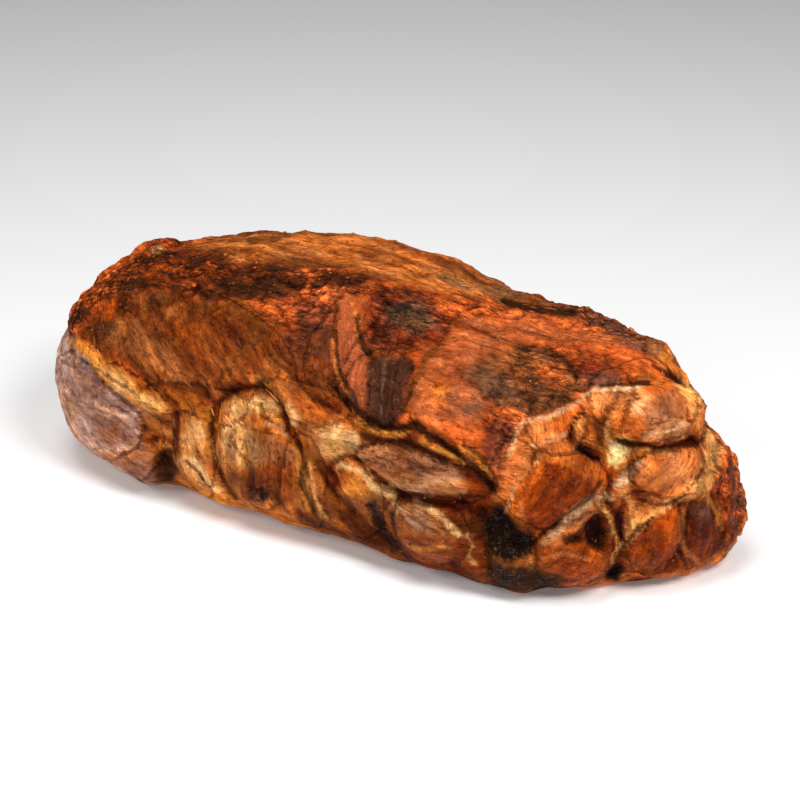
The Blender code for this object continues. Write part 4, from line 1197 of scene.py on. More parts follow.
def painted(body, shape, normals, tree, wander):
    """The roast's soft colours at each point."""
    loose = body + wander
    x, y, _ = loose.T
    near = crossing(-y, SIDES_BLEND)[:, None]
    colour = mixed(tones_along(x, FAR_TONES), tones_along(x, NEAR_TONES), near)
    cut_end = crossing(x - CUT_END_FROM, CUT_END_BLEND)[:, None]
    colour = mixed(colour, linear("cut"), cut_end)
    cap = crossing(inside_cap(loose), CAP_BLEND)[:, None]
    glaze = mixed(linear("glaze"), linear("far_glaze"), ease(y / FAR_GLAZE_REACH)[:, None])
    colour = mixed(colour, glaze, cap)
    for tone, strength, *oval in HIDDEN_AREAS.values():
        reach = reach_from(loose, tree, *oval)
        share = strength * ease(HIDDEN_STEEPNESS * (HIDDEN_REACH - reach))[:, None]
        colour = mixed(colour, linear(tone), share)
    at, scale, facing = seen(shape + PATCH_STRAY * wander, normals)
    for tone, strength, edge, _, outline in PATCHES.values():
        share = strength * facing * crossing(inside_by(at, scale, outline), PATCH_SOFTNESS * edge)
        colour = mixed(colour, linear(tone), share[:, None])
    mottle = sum(share * rough(body, size, (9.1, 2.2, size)) for size, share in MOTTLE)
    warmth = rough(body, WARMTH_SIZE, (1.1, 6.2, 3.4))[:, None]
    return colour * GRADE * (1 + mottle[:, None]) * (1 + warmth * WARMTH)


class Marks:
    """How near each point is to a mark, 0.5 on its outline, with the mark's tone and strength."""

    def __init__(self, count):
        self.field = np.zeros(count)
        self.colour = np.tile((*linear("glaze"), 0.0), (count, 1))

    def add(self, nearness, tone, strength):
        over = nearness > self.field
        self.colour[over] = (*linear(tone), strength)
        self.field[over] = nearness[over]


def marked(body, shape, normals, tree, wander):
    """Pale marks and dark marks at each point, among them painted highlights and painted shadows."""
    pale, dark = Marks(len(body)), Marks(len(body))
    worn = LINE_WEAR * (rough(body, WEAR_SIZE, (5.2, 0.7, 3.9)) + 0.4)
    at, scale, facing = seen(shape + LINE_STRAY * wander, normals)
    for marks, lines in ((pale, PALE_LINES), (dark, DARK_LINES)):
        for tone, strength, width, _, way in lines.values():
            nearness = 1 - 0.5 * from_line(at, scale, way) / width
            marks.add(facing * (nearness - worn), tone, strength)
    at, scale, facing = seen(shape + BURNT_STRAY * wander, normals)
    clear = facing * (1 - ease((pale.field - BURNT_STOP) / BURNT_FADE))
    for tone, strength, outline in BURNT.values():
        inside = inside_by(at, scale, outline)
        dark.add(clear * np.clip(0.5 + inside / BURNT_EDGE, 0, BURNT_MOST), tone, strength)
    for tone, strength, kind, width, way in HIDDEN_LINES.values():
        gap = distance_to_line(body + HIDDEN_STRAY * wander, run_on(tree, kind, way))
        pale.add(1 - 0.5 * gap / width, tone, strength)
    return pale, dark


def smoothed(edges, points, rounds):
    """Points moved to the middle of their neighbours, some rounds over."""
    first, second = edges.T
    count = np.bincount(edges.ravel(), minlength=len(points))[:, None]
    for _ in range(rounds):
        total = [
            np.bincount(first, points[second, axis], len(points))
            + np.bincount(second, points[first, axis], len(points))
            for axis in range(3)
        ]
        points = np.stack(total, 1) / count
    return points


def pillows(points, size, seed):
    """Rounded lumps of a size with narrow gaps between them, from 0 in a gap to 1."""
    heights = []
    for point in (points / size + np.array(seed)).tolist():
        first, second = noise.voronoi(point)[0][:2]
        heights.append(second - first)
    return np.clip(np.array(heights) / LUMP_GAP, 0, 1) ** LUMP_POWER


def fine_relief(body, places, strengths):
    """Fibres, folds, crust lumps and grit out of the surface in millimetres, and the lumps."""
    fibre, crag, _ = strengths.T
    strands = sum(
        share * rough(places * (stretch, 1, 1), width, seed)
        for share, stretch, width, seed in STRANDS
    )
    bends = np.stack([rough(body, BEND_SIZE, (k * 3.1, 4.7, 0.9)) for k in range(3)], 1)
    bent = body + LUMP_BEND * bends
    lumps, grit = (pillows(bent * (stretch, 1, 1), size, seed) for stretch, size, seed in LUMPS)
    wrinkles = np.abs(rough(places * (FOLD_STRETCH, 1, 1), FOLD_SPACING, FOLD_SEED))
    folds = -FOLD_DEPTH * np.exp(-((wrinkles / FOLD_WIDTH) ** 2))
    lift = fibre * (STRAND_HEIGHT * strands + FOLD_SHARE * folds)
    lift += crag * (LUMP_HEIGHT * (lumps - LUMP_MIDDLE) + GRIT_HEIGHT * (grit - LUMP_MIDDLE))
    return lift, LUMP_SHARE * lumps + (1 - LUMP_SHARE) * grit


def loose_bits(body, tree):
    """Where crumbs, beads of fat and torn strands lie."""
    where = {}
    for name, spots in (("crumbs", CRUMB_SPOTS), ("beads", BEAD_SPOTS), ("strands", STRAND_SPOTS)):
        share = np.zeros(len(body))
        for strength, *oval in spots.values():
            reach = reach_from(body, tree, *oval)
            share = np.maximum(share, strength * ease(BIT_STEEPNESS * (1 - reach)))
        where[name] = share * ease(0.5 + 1.5 * rough(body, BARE_SIZE, (8.8, 3.1, 5.7)))
    return where


def store(mesh, name, values):
    """A layer of single values, vectors or colours on a mesh's points."""
    values = np.asarray(values, np.float32)
    kind, key = LAYERS[values.size // len(values)]
    mesh.attributes.new(name, kind, "POINT").data.foreach_set(key, values.ravel())


def joint_mesh(settings):
    """The finished joint's mesh with its colours, fibres and grain as attributes."""
    bm = cube_grid(FINE_GRID)
    body, plain_normals, tree = main_form(bm)
    places, ways = fibre_places(body, plain_normals, tree)
    edges = np.array([[end.index for end in edge.verts] for edge in bm.edges])
    points = points_of(bm)
    calm = CALM_SHARE * ease(-body[:, 1] / CALM_FROM - 1)
    calm *= 1 - ease((body[:, 0] - CALM_UNTIL) / CALM_FADE)
    points += calm[:, None] * (smoothed(edges, points, CALM_ROUNDS) - points)
    move_points(bm, points)
    strengths = grain_strengths(body, points, plain_normals, tree)
    lift, lumps = fine_relief(body, places, strengths)
    points += normals_of(bm) * settings.relief * lift[:, None]
    points[:, 2] = np.maximum(points[:, 2], 0)
    shape = points.copy()
    points[:, :2] -= CENTRE
    move_points(bm, points * MM)
    mesh = bpy.data.meshes.new("roast_joint")
    normals = normals_of(bm)
    bm.to_mesh(mesh)
    bm.free()
    wander = wandering(body)
    pale, dark = marked(body, shape, plain_normals, tree, wander)
    tint = painted(body, shape, plain_normals, tree, wander)
    # Painted highlight on the crust's lumps and painted shade in the gaps between them.
    tint *= (1 + strengths[:, 1] * (LUMP_HIGHLIGHT * lumps - GAP_SHADE))[:, None]
    streaks = sum(
        share * rough(places * (STREAK_STRETCH, 1, 1), width, (6.1, width, 0.4))
        for width, share in STREAKS
    )
    tint *= 1 + (strengths[:, 0] * streaks)[:, None] * STREAK_TINT
    # How far each point lies below its smoothed neighbours, which sets the painted shade in hollows and the
    # painted highlight on raised parts.
    hollow_shade = sum(
        share * np.clip(((smoothed(edges, points, rounds) - points) * normals).sum(1) / depth, -1, 1)
        for rounds, depth, share in HOLLOW_SHADING
    )
    ones = np.ones((len(points), 1))
    layers = {
        "tint": np.hstack([tint, ones]), "pale_tint": pale.colour, "dark_tint": dark.colour,
        "grain": np.hstack([strengths, ones]), "fibre_place": places, "fibre_way": ways,
        "marks": np.stack([pale.field, dark.field, hollow_shade], 1), **loose_bits(body, tree),
    }
    for name, values in layers.items():
        store(mesh, name, values)
    mesh.shade_smooth()
    return mesh


def fill(tree, node, inputs):
    """Set a node's inputs to values, or link them to sockets."""
    for key, value in inputs.items():
        if isinstance(value, bpy.types.NodeSocket):
            tree.links.new(value, node.inputs[key])
        else:
            node.inputs[key].default_value = value


def new_node(tree, kind, inputs=None, **settings):
    """A node with its settings and inputs."""
    node = tree.nodes.new(kind)
    for name, value in settings.items():
        setattr(node, name, value)
    fill(tree, node, inputs or {})
    return node


def maths(tree, operation, *values, clamp=False):
    inputs = dict(enumerate(values))
    return new_node(tree, "ShaderNodeMath", inputs, operation=operation, use_clamp=clamp).outputs[0]


def times(tree, first, *others):
    """The product of some values or sockets."""
    for other in others:
        first = maths(tree, "MULTIPLY", first, other)
    return first


def blend_colours(tree, share, first, second, kind="MIX"):
    inputs = {0: share, 6: first, 7: second}
    node = new_node(tree, "ShaderNodeMix", inputs, data_type="RGBA", blend_type=kind)
    return node.outputs[2]


def spread(tree, value, low, high, to_low=0.0, to_high=1.0):
    inputs = {0: value, 1: low, 2: high, 3: to_low, 4: to_high}
    return new_node(tree, "ShaderNodeMapRange", inputs).outputs[0]


def stretched(tree, vector, factors):
    inputs = {0: vector, 1: factors}
    return new_node(tree, "ShaderNodeVectorMath", inputs, operation="MULTIPLY").outputs[0]


def noise_texture(tree, place, scale, **more):
    """Noise as one value and as a colour, with further inputs such as its detail."""
    return new_node(tree, "ShaderNodeTexNoise", {"Vector": place, "Scale": scale, **more}).outputs


def group_with(name, measure, value):
    """A new shader node group that takes a place and one measure, and sockets for these two."""
    group = bpy.data.node_groups.new(name, "ShaderNodeTree")
    group.interface.new_socket("Place", in_out="INPUT", socket_type="NodeSocketVector")
    socket = group.interface.new_socket(measure, in_out="INPUT", socket_type="NodeSocketFloat")
    socket.default_value = value
    taken = group.nodes.new("NodeGroupInput").outputs
    return group, taken["Place"], taken[measure]


def ended(group, values):
    """The group with its results as outputs."""
    for label in values:
        group.interface.new_socket(label, in_out="OUTPUT", socket_type="NodeSocketFloat")
    fill(group, group.nodes.new("NodeGroupOutput"), values)
    return group


def fibre_group():
    """Streaks of meat fibres, from millimetres along and across them."""
    group, place, width = group_with("Meat fibres", "Width", 1.0)
    scale = maths(group, "DIVIDE", 1.0, width)
    broad = noise_texture(
        group, stretched(group, place, (0.09, 0.6, 0.6)), scale, Detail=3.0, Roughness=0.6
    )[0]
    thin = noise_texture(
        group, stretched(group, place, (0.26, 1.7, 1.7)), scale, Detail=2.0, Roughness=0.65
    )[0]
    both = maths(group, "MULTIPLY_ADD", thin, 0.45, times(group, broad, 0.55))
    return ended(group, {"Streak": spread(group, both, 0.32, 0.68), "Height": both})


def crust_group():
    """Lumps of a roasted crust with gaps and tips for painted shade and highlight, charred crags and bright
    flecks.
    """
    group, place, size = group_with("Crust grain", "Size", 1.0)
    scale = maths(group, "DIVIDE", 1.0, size)
    crags = noise_texture(
        group, stretched(group, place, (0.16, 0.34, 0.34)), scale, Detail=6.0, Roughness=0.68,
        Distortion=0.8,
    )[0]
    bend = noise_texture(group, place, times(group, scale, 0.3))[1]
    bent = new_node(
        group, "ShaderNodeVectorMath", {0: bend, 1: (2.4, 2.4, 2.4), 2: place},
        operation="MULTIPLY_ADD",
    ).outputs[0]
    lumps = new_node(
        group, "ShaderNodeTexVoronoi",
        {"Vector": stretched(group, bent, (0.28, 0.5, 0.5)), "Scale": scale},
        feature="DISTANCE_TO_EDGE",
    ).outputs["Distance"]
    flecks = noise_texture(group, place, times(group, scale, 0.8), Detail=2.0)[0]
    crumbs = noise_texture(
        group, stretched(group, place, (0.7, 1.0, 1.0)), times(group, scale, 0.55), Detail=4.0,
        Roughness=0.7, Distortion=0.6,
    )[0]
    return ended(group, {
        "Crumb": crumbs,
        "Char": spread(group, crags, 0.5, 0.36),
        "Fleck": spread(group, flecks, 0.55, 0.66),
        "Gap": spread(group, lumps, 0.14, 0.0),
        "Tip": spread(group, lumps, 0.16, 0.4),
        "Height": maths(group, "MULTIPLY_ADD", spread(group, lumps, 0.0, 0.35), 0.25, crags),
    })


def wrinkle_group():
    """Thin wandering wrinkles and the stains of juice that dried around them."""
    group, place, spacing = group_with("Wrinkles and stains", "Spacing", 5.0)
    scale = maths(group, "DIVIDE", 1.0, spacing)
    wave = noise_texture(
        group, stretched(group, place, (0.3, 1.0, 1.0)), scale, Detail=3.0, Roughness=0.55,
        Distortion=0.5,
    )[0]
    off = maths(group, "ABSOLUTE", maths(group, "SUBTRACT", wave, 0.5))
    stain = noise_texture(
        group, stretched(group, place, (0.6, 1.0, 1.0)), times(group, scale, 0.8), Detail=5.0,
        Roughness=0.65, Distortion=1.0,
    )[0]
    return ended(group, {
        "Wrinkle": spread(group, off, 0.05, 0.0), "Stain": spread(group, stain, 0.42, 0.62)
    })


def film_group():
    """Uneven gloss of juice and fat on the surface."""
    group, place, wetness = group_with("Juice film", "Wetness", 0.5)
    patchy = noise_texture(group, place, 0.45, Detail=4.0, Roughness=0.7)[0]
    dry = maths(group, "MULTIPLY_ADD", patchy, 0.4, maths(group, "MULTIPLY_ADD", wetness, -0.3, 0.5))
    coat = maths(group, "MULTIPLY", wetness, spread(group, patchy, 0.57, 0.7), clamp=True)
    return ended(group, {"Roughness": maths(group, "MAXIMUM", dry, 0.2), "Coat": coat})


def place_group(tree, group, **inputs):
    return new_node(tree, "ShaderNodeGroup", inputs, node_tree=group).outputs


def channel(tree, colour):
    return new_node(tree, "ShaderNodeSeparateColor", {"Color": colour}).outputs


def attribute(tree, name):
    return new_node(tree, "ShaderNodeAttribute", attribute_name=name).outputs


def object_place(tree):
    """Millimetres in the object's own frame."""
    return stretched(tree, new_node(tree, "ShaderNodeTexCoord").outputs["Object"], (1 / MM,) * 3)


def empty_material(name):
    material = bpy.data.materials.new(name)
    material.use_nodes = True
    return material, material.node_tree, material.node_tree.nodes["Principled BSDF"]


def ragged(tree, field, texture, reach, softness):
    """A crisp mask where a field plus a texture passes the middle."""
    moved = maths(tree, "MULTIPLY_ADD", maths(tree, "SUBTRACT", texture, 0.5), reach, field)
    return spread(tree, moved, 0.5 - softness, 0.5 + softness)


def tinted(tree, share, colour, factors):
    """A colour multiplied by some factors, to some share."""
    changed = blend_colours(tree, 1.0, colour, (*factors, 1), "MULTIPLY")
    return blend_colours(tree, share, colour, changed)


def joint_material(settings, groups):
    """The joint's meat: painted tones broken up by fibres, crust and a film of juice."""
    material, tree, shader = empty_material("roasted_joint")
    tint, pale_tint, dark_tint, grain = (
        attribute(tree, name) for name in ("tint", "pale_tint", "dark_tint", "grain")
    )
    fibre, crag, wet = channel(tree, grain["Color"])[:3]
    pale_mark, dark_mark, hollow_shade = new_node(
        tree, "ShaderNodeSeparateXYZ", {0: attribute(tree, "marks")["Vector"]}
    ).outputs
    place = object_place(tree)
    along_fibres = attribute(tree, "fibre_place")["Vector"]
    fibres = place_group(tree, groups["fibres"], Place=along_fibres, Width=settings.fibre_width / MM)
    crust = place_group(tree, groups["crust"], Place=place, Size=settings.crust_size / MM)
    wrinkles = place_group(
        tree, groups["wrinkles"], Place=along_fibres, Spacing=settings.wrinkle_spacing / MM
    )
    film = place_group(tree, groups["film"], Place=place, Wetness=wet)
    pale = ragged(tree, pale_mark, crust["Crumb"], 0.9, 0.3)
    dark = ragged(tree, dark_mark, crust["Height"], 1.2, 0.22)
    bare = maths(tree, "SUBTRACT", 1.0, crag, clamp=True)

    # The painted tone with its pale marks, then stains, fibres and flecks, then the dark marks.
    meat = blend_colours(
        tree, times(tree, pale, pale_tint["Alpha"]), tint["Color"], pale_tint["Color"]
    )
    meat = tinted(tree, times(tree, wrinkles["Stain"], bare, 0.75), meat, TINTS["stain"])
    streaked = blend_colours(
        tree, fibres["Streak"], tinted(tree, 1.0, meat, TINTS["dark_fibre"]),
        tinted(tree, 1.0, meat, TINTS["pale_fibre"]),
    )
    meat = blend_colours(tree, times(tree, fibre, settings.fibre_contrast), meat, streaked)
    flecks = times(tree, crag, crust["Fleck"], 0.35)
    meat = blend_colours(tree, flecks, meat, (*settings.fleck_colour, 1))
    meat = blend_colours(tree, times(tree, dark, dark_tint["Alpha"]), meat, dark_tint["Color"])

    # Crumbs, painted shade in wrinkles and in the crust's gaps and painted highlight on its tips, weaker on
    # pale marks.
    low = times(
        tree, spread(tree, crust["Crumb"], 0.46, 0.34), spread(tree, pale, 0.0, 1.0, 1.0, 0.35)
    )
    for share, name in (
        (low, "low_crumb"),
        (spread(tree, crust["Crumb"], 0.54, 0.68), "high_crumb"),
        (times(tree, wrinkles["Wrinkle"], 0.25), "wrinkle_shade"),
        (times(tree, crust["Gap"], spread(tree, crag, 0.35, 0.95)), "gap"),
        (times(tree, crust["Tip"], crag), "tip_highlight"),
    ):
        meat = tinted(tree, share, meat, TINTS[name])
    burnt = times(tree, crag, crust["Char"])
    meat = blend_colours(tree, burnt, meat, (*settings.char_colour, 1))
    # Painted shade in the hollows, weaker on pale marks, then painted highlight on raised parts.
    shade = times(tree, spread(tree, hollow_shade, 0.12, 1.2), spread(tree, pale, 0.0, 1.0, 1.0, 0.15))
    meat = tinted(tree, shade, meat, TINTS["hollow_shade"])
    meat = tinted(tree, spread(tree, hollow_shade, -0.1, -1.1), meat, TINTS["raised_highlight"])

    # The finest relief, as a bump.
    height = times(tree, fibres["Height"], fibre, 0.9)
    height = maths(tree, "MULTIPLY_ADD", wrinkles["Wrinkle"], -0.35, height)
    height = maths(tree, "MULTIPLY_ADD", crust["Crumb"], 0.8, height)
    craggy = maths(tree, "MULTIPLY_ADD", crag, 1.5, 0.3)
    height = maths(tree, "MULTIPLY_ADD", crust["Height"], craggy, height)
    bump = new_node(tree, "ShaderNodeBump", {"Height": height, "Strength": 0.9, "Distance": 0.0013})
    fill(tree, shader, {
        "Base Color": meat, "Roughness": film["Roughness"], "Coat Weight": film["Coat"],
        "Normal": bump.outputs[0], "Specular IOR Level": 0.05, "Coat Roughness": 0.14,
        "Coat IOR": 1.4, "Subsurface Weight": 0.03, "Subsurface Radius": (1.0, 0.35, 0.15),
        "Subsurface Scale": 0.003,
    })
    return material


def bit_material(name, groups, tips, wetness):
    """A loose bit's material: the tone beneath it, brighter, with crust grain and juice."""
    material, tree, shader = empty_material(name)
    place = object_place(tree)
    crust = place_group(tree, groups["crust"], Place=place, Size=1.0)
    film = place_group(tree, groups["film"], Place=place, Wetness=wetness)
    tone = attribute(tree, "tint")["Color"]
    low = tinted(tree, 1.0, tone, TINTS["low_bit"])
    colour = blend_colours(tree, crust["Crumb"], low, tinted(tree, 1.0, tone, tips))
    bump = new_node(
        tree, "ShaderNodeBump", {"Height": crust["Crumb"], "Strength": 0.6, "Distance": 0.0006}
    )
    fill(tree, shader, {
        "Base Color": colour, "Roughness": film["Roughness"], "Coat Weight": film["Coat"],
        "Normal": bump.outputs[0], "Specular IOR Level": 0.1 + 0.4 * wetness,
        "Coat Roughness": 0.1,
    })
    return material


def scatter_tree(name, bit):
    """Nodes that scatter one kind of bit over a surface, thickest where its field is strong."""
    tree = bpy.data.node_groups.new(name, "GeometryNodeTree")
    tree.interface.new_socket("Geometry", in_out="INPUT", socket_type="NodeSocketGeometry")
    for label, kind in (
        ("Density", "NodeSocketFloat"), ("Smallest", "NodeSocketFloat"),
        ("Largest", "NodeSocketFloat"), ("Seed", "NodeSocketInt"), ("Material", "NodeSocketMaterial"),
    ):
        tree.interface.new_socket(label, in_out="INPUT", socket_type=kind)
    tree.interface.new_socket("Geometry", in_out="OUTPUT", socket_type="NodeSocketGeometry")
    taken = tree.nodes.new("NodeGroupInput").outputs
    share = new_node(tree, "GeometryNodeInputNamedAttribute", {"Name": bit["field"]}, data_type="FLOAT")
    points = new_node(
        tree, "GeometryNodeDistributePointsOnFaces",
        {"Mesh": taken["Geometry"], "Seed": taken["Seed"],
         "Density": maths(tree, "MULTIPLY", taken["Density"], share.outputs["Attribute"])},
    ).outputs
    way = new_node(
        tree, "GeometryNodeInputNamedAttribute", {"Name": "fibre_way"}, data_type="FLOAT_VECTOR"
    )
    along = new_node(
        tree, "FunctionNodeAlignRotationToVector",
        {"Rotation": points["Rotation"], "Vector": way.outputs["Attribute"]},
        axis="X", pivot_axis="Z",
    ).outputs[0]
    wild = new_node(
        tree, "FunctionNodeRandomValue",
        {0: bit["least turn"], 1: bit["most turn"], "Seed": taken["Seed"]},
        data_type="FLOAT_VECTOR",
    ).outputs[0]
    wild = new_node(tree, "FunctionNodeEulerToRotation", {0: wild}).outputs[0]
    turned = new_node(
        tree, "FunctionNodeRotateRotation",
        {"Rotation": along, "Rotate By": wild}, rotation_space="LOCAL",
    ).outputs[0]
    size = new_node(
        tree, "FunctionNodeRandomValue",
        {2: taken["Smallest"], 3: taken["Largest"], "Seed": taken["Seed"]}, data_type="FLOAT",
    ).outputs[1]
    scale = new_node(
        tree, "ShaderNodeVectorMath", {0: bit["shape"], "Scale": size}, operation="SCALE"
    ).outputs[0]
    ball = new_node(tree, "GeometryNodeMeshUVSphere", {"Segments": 8, "Rings": 5, "Radius": 1.0})
    dents = new_node(
        tree, "ShaderNodeTexNoise", {"Scale": bit["dent size"], "Detail": 1.0}
    ).outputs[1]
    push = new_node(
        tree, "ShaderNodeVectorMath",
        {0: dents, 1: (bit["dents"],) * 3, 2: (-0.5 * bit["dents"],) * 3}, operation="MULTIPLY_ADD",
    ).outputs[0]
    shape = new_node(tree, "GeometryNodeSetPosition", {"Geometry": ball.outputs[0], "Offset": push})
    bits = new_node(
        tree, "GeometryNodeInstanceOnPoints",
        {"Points": points["Points"], "Instance": shape.outputs[0], "Rotation": turned,
         "Scale": scale},
    )
    real = new_node(tree, "GeometryNodeRealizeInstances", {0: bits.outputs[0]})
    smooth = new_node(tree, "GeometryNodeSetShadeSmooth", {0: real.outputs[0]})
    finished = new_node(
        tree, "GeometryNodeSetMaterial", {"Geometry": smooth.outputs[0], "Material": taken["Material"]}
    )
    given = tree.nodes.new("NodeGroupOutput")
    tree.links.new(finished.outputs[0], given.inputs[0])
    return tree


def scattered_mesh(name, bit, values):
    """The plain mesh of one kind of bit scattered over the finished joint."""
    joint = bpy.data.objects.get("roast_joint")
    if joint is None:
        raise RuntimeError("The joint has to be built before its loose bits")
    carrier = bpy.data.objects.new(name, joint.data.copy())
    bpy.context.scene.collection.objects.link(carrier)
    modifier = carrier.modifiers.new(name, "NODES")
    modifier.node_group = scatter_tree("Scatter " + name, bit)
    for socket in modifier.node_group.interface.items_tree:
        if socket.in_out == "INPUT" and socket.name in values:
            modifier[socket.identifier] = values[socket.name]
    graph = bpy.context.evaluated_depsgraph_get()
    mesh = bpy.data.meshes.new_from_object(carrier.evaluated_get(graph), depsgraph=graph)
    carrier.modifiers.remove(modifier)
    bpy.data.objects.remove(carrier)
    if not mesh.polygons:
        raise RuntimeError("No bits were scattered for " + name)
    return mesh


class RoastJointSettings(bpy.types.PropertyGroup):
    """Looks of the joint's meat and crust."""

    relief: bpy.props.FloatProperty(
        name="Relief", description="Share of the fine fibres and crags", default=1.0, min=0, max=2
    )
    fibre_width: bpy.props.FloatProperty(
        name="Fibre width", description="Width of a bundle of fibres", default=0.0011, unit="LENGTH"
    )
    fibre_contrast: bpy.props.FloatProperty(
        name="Fibre contrast", description="How clearly fibres show", default=0.7, min=0, max=1
    )
    wrinkle_spacing: bpy.props.FloatProperty(
        name="Wrinkle spacing", description="Gap between wrinkles", default=0.005, unit="LENGTH"
    )
    crust_size: bpy.props.FloatProperty(
        name="Crust size", description="Size of the crust's crags", default=0.001, unit="LENGTH"
    )
    char_colour: bpy.props.FloatVectorProperty(
        name="Char", description="Colour of burnt crust", subtype="COLOR",
        default=(0.02, 0.013, 0.01), min=0, max=1,
    )
    fleck_colour: bpy.props.FloatVectorProperty(
        name="Flecks", description="Colour of bright crisp flecks", subtype="COLOR",
        default=(0.62, 0.24, 0.07), min=0, max=1,
    )


class RoastBitsSettings(bpy.types.PropertyGroup):
    """Crumbs of crust, beads of fat and torn strands on the joint."""

    crumb_density: bpy.props.FloatProperty(
        name="Crumbs", description="Crumbs to a square metre", default=60000.0, min=0
    )
    crumb_size: bpy.props.FloatProperty(
        name="Crumb size", description="Half the length of a large crumb", default=0.0013,
        unit="LENGTH",
    )
    bead_density: bpy.props.FloatProperty(
        name="Beads", description="Beads of fat to a square metre", default=60000.0, min=0
    )
    bead_size: bpy.props.FloatProperty(
        name="Bead size", description="Radius of a large bead", default=0.0006, unit="LENGTH"
    )
    strand_density: bpy.props.FloatProperty(
        name="Strands", description="Torn strands to a square metre", default=60000.0, min=0
    )
    strand_length: bpy.props.FloatProperty(
        name="Strand length", description="Half the length of a long strand", default=0.0035,
        unit="LENGTH",
    )


class RoastStageSettings(bpy.types.PropertyGroup):
    """Camera, light and floor around the roast."""

    azimuth: bpy.props.FloatProperty(
        name="Azimuth", description="Camera's turn around the joint",
        default=math.radians(SEEN_FROM[0]), subtype="ANGLE",
    )
    elevation: bpy.props.FloatProperty(
        name="Elevation", description="Camera's height as an angle",
        default=math.radians(SEEN_FROM[1]), subtype="ANGLE",
    )
    distance: bpy.props.FloatProperty(
        name="Distance", description="Camera's distance", default=SEEN_DISTANCE * MM, unit="LENGTH"
    )
    lens: bpy.props.FloatProperty(
        name="Lens", description="Focal length in millimetres", default=LENS
    )
    look_at: bpy.props.FloatVectorProperty(
        name="Look at", description="Point that the camera looks at", subtype="TRANSLATION",
        default=[MM * (at - middle) for at, middle in zip(SEEN_TARGET, (*CENTRE, 0))],
    )
    floor_colour: bpy.props.FloatVectorProperty(
        name="Floor", description="Colour of the floor", subtype="COLOR",
        default=(0.97, 0.97, 0.97), min=0, max=1,
    )
    floor_glow: bpy.props.FloatProperty(
        name="Floor glow", description="How much the floor is lit from below", default=0.1, min=0
    )


def shader_groups():
    """The shader node groups by name, each made once."""
    makers = {
        "fibres": ("Meat fibres", fibre_group), "crust": ("Crust grain", crust_group),
        "wrinkles": ("Wrinkles and stains", wrinkle_group), "film": ("Juice film", film_group),
    }
    return {key: bpy.data.node_groups.get(name) or make() for key, (name, make) in makers.items()}


def add_piece(name, mesh, material):
    """A finished piece at the origin that moves with the joint."""
    piece = bpy.data.objects.new(name, mesh)
    bpy.context.scene.collection.objects.link(piece)
    mesh.materials.clear()
    mesh.materials.append(material)
    mesh.polygons.foreach_set("material_index", [0] * len(mesh.polygons))
    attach(piece, BODY)
    return piece


class ROAST_OT_joint(bpy.types.Operator):
    """Build the roasted joint with its crust, muscles and fat"""

    bl_idname = "roast.joint"
    bl_label = "Roasted joint"

    def execute(self, context):
        settings = context.scene.roast_joint
        material = joint_material(settings, shader_groups())
        piece = add_piece("roast_joint", joint_mesh(settings), material)
        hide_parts(SOLID)
        return {"FINISHED"}


def add_bits(name, density, largest):
    """One piece of scattered bits with its own material."""
    bit = BITS[name]
    material = bit_material(name, shader_groups(), bit["tips"], bit["wetness"])
    values = {
        "Density": density, "Smallest": bit["smallest"] * largest, "Largest": largest,
        "Seed": bit["seed"], "Material": material,
    }
    add_piece(name, scattered_mesh(name, bit, values), material)


class ROAST_OT_crumbs(bpy.types.Operator):
    """Scatter crisp crumbs over the crust"""

    bl_idname = "roast.crumbs"
    bl_label = "Crumbs of crust"

    def execute(self, context):
        settings = context.scene.roast_bits
        add_bits("crust_crumbs", settings.crumb_density, settings.crumb_size)
        return {"FINISHED"}


class ROAST_OT_beads(bpy.types.Operator):
    """Scatter beads of fat and juice over the wet meat"""

    bl_idname = "roast.beads"
    bl_label = "Beads of fat"

    def execute(self, context):
        settings = context.scene.roast_bits
        add_bits("fat_beads", settings.bead_density, settings.bead_size)
        return {"FINISHED"}


class ROAST_OT_strands(bpy.types.Operator):
    """Scatter torn strands of meat along the fibres"""

    bl_idname = "roast.strands"
    bl_label = "Torn strands"

    def execute(self, context):
        settings = context.scene.roast_bits
        add_bits("meat_strands", settings.strand_density, settings.strand_length)
        return {"FINISHED"}


def stand(thing, back, distance, target):
    """Put a light or a camera at a distance from a target, so that it faces it."""
    thing.location = Vector(target) + back * distance
    thing.rotation_euler = back.to_track_quat("Z", "Y").to_euler()
    bpy.context.scene.collection.objects.link(thing)


def area_light(name, angles, distance, size, power):
    """A soft square light that faces the joint from an azimuth and elevation in degrees."""
    data = bpy.data.lights.new(name, "AREA")
    data.size = size
    data.energy = power
    back = Vector(direction(*(math.radians(angle) for angle in angles)))
    stand(bpy.data.objects.new(name, data), back, distance, (0, 0, LIT_HEIGHT))


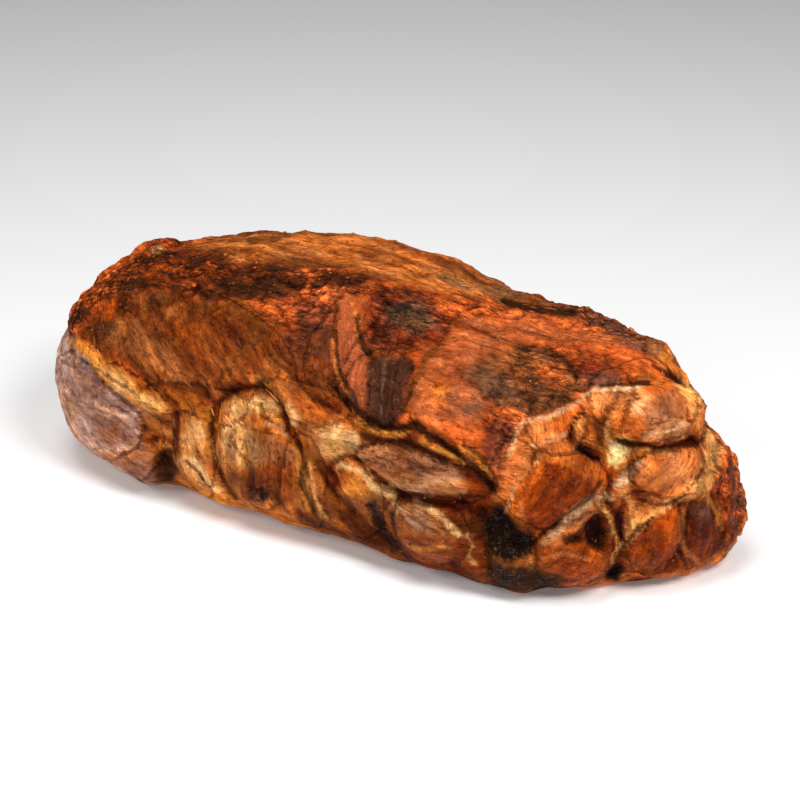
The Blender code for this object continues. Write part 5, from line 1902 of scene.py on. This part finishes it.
class ROAST_OT_stage(bpy.types.Operator):
    """Add the pale floor, the soft studio light and the camera"""

    bl_idname = "roast.stage"
    bl_label = "Stage"

    def execute(self, context):
        settings = context.scene.roast_stage
        bm = bmesh.new()
        bmesh.ops.create_grid(bm, x_segments=2, y_segments=2, size=FLOOR_HALF)
        mesh = bpy.data.meshes.new("floor")
        bm.to_mesh(mesh)
        bm.free()
        floor = bpy.data.objects.new("floor", mesh)
        context.scene.collection.objects.link(floor)
        material, tree, shader = empty_material("pale_floor")
        fill(tree, shader, {
            "Base Color": (*settings.floor_colour, 1), "Roughness": 0.9,
            "Emission Color": (1, 1, 1, 1), "Emission Strength": settings.floor_glow,
        })
        mesh.materials.append(material)
        for name, values in LIGHTS.items():
            area_light(name, *values)
        world = bpy.data.worlds.new("studio")
        world.use_nodes = True
        inputs = {"Color": (1, 1, 1, 1), "Strength": ROUND_LIGHT}
        fill(world.node_tree, world.node_tree.nodes["Background"], inputs)
        context.scene.world = world
        data = bpy.data.cameras.new("camera")
        data.lens = settings.lens
        data.sensor_width = SENSOR
        camera = bpy.data.objects.new("camera", data)
        back = Vector(direction(settings.azimuth, settings.elevation))
        stand(camera, back, settings.distance, settings.look_at)
        context.scene.camera = camera
        return {"FINISHED"}


class ROAST_PT_panel(bpy.types.Panel):
    """Lists the roast's pieces and their settings"""

    bl_idname = "ROAST_PT_panel"
    bl_label = "Roast"
    bl_space_type = "VIEW_3D"
    bl_region_type = "UI"
    bl_category = "Roast"

    def draw(self, context):
        for settings, operators in (
            (context.scene.roast_joint, ("roast.joint",)),
            (context.scene.roast_bits, ("roast.crumbs", "roast.beads", "roast.strands")),
            (context.scene.roast_stage, ("roast.stage",)),
        ):
            box = self.layout.box()
            for name in settings.__annotations__:
                box.prop(settings, name)
            for operator in operators:
                box.operator(operator)


CLASSES = (
    RoastJointSettings, RoastBitsSettings, RoastStageSettings, ROAST_OT_joint, ROAST_OT_crumbs,
    ROAST_OT_beads, ROAST_OT_strands, ROAST_OT_stage, ROAST_PT_panel,
)
SETTINGS = {
    "roast_joint": RoastJointSettings, "roast_bits": RoastBitsSettings,
    "roast_stage": RoastStageSettings,
}


def register():
    for cls in CLASSES:
        bpy.utils.register_class(cls)
    for name, group in SETTINGS.items():
        setattr(bpy.types.Scene, name, bpy.props.PointerProperty(type=group))


def unregister():
    for name in SETTINGS:
        delattr(bpy.types.Scene, name)
    for cls in reversed(CLASSES):
        bpy.utils.unregister_class(cls)


def main():
    register()
    bpy.context.scene.view_settings.view_transform = "Standard"
    bpy.ops.roast.joint()
    bpy.ops.roast.crumbs()
    bpy.ops.roast.beads()
    bpy.ops.roast.strands()
    bpy.ops.roast.stage()


if __name__ == "__main__":
    main()
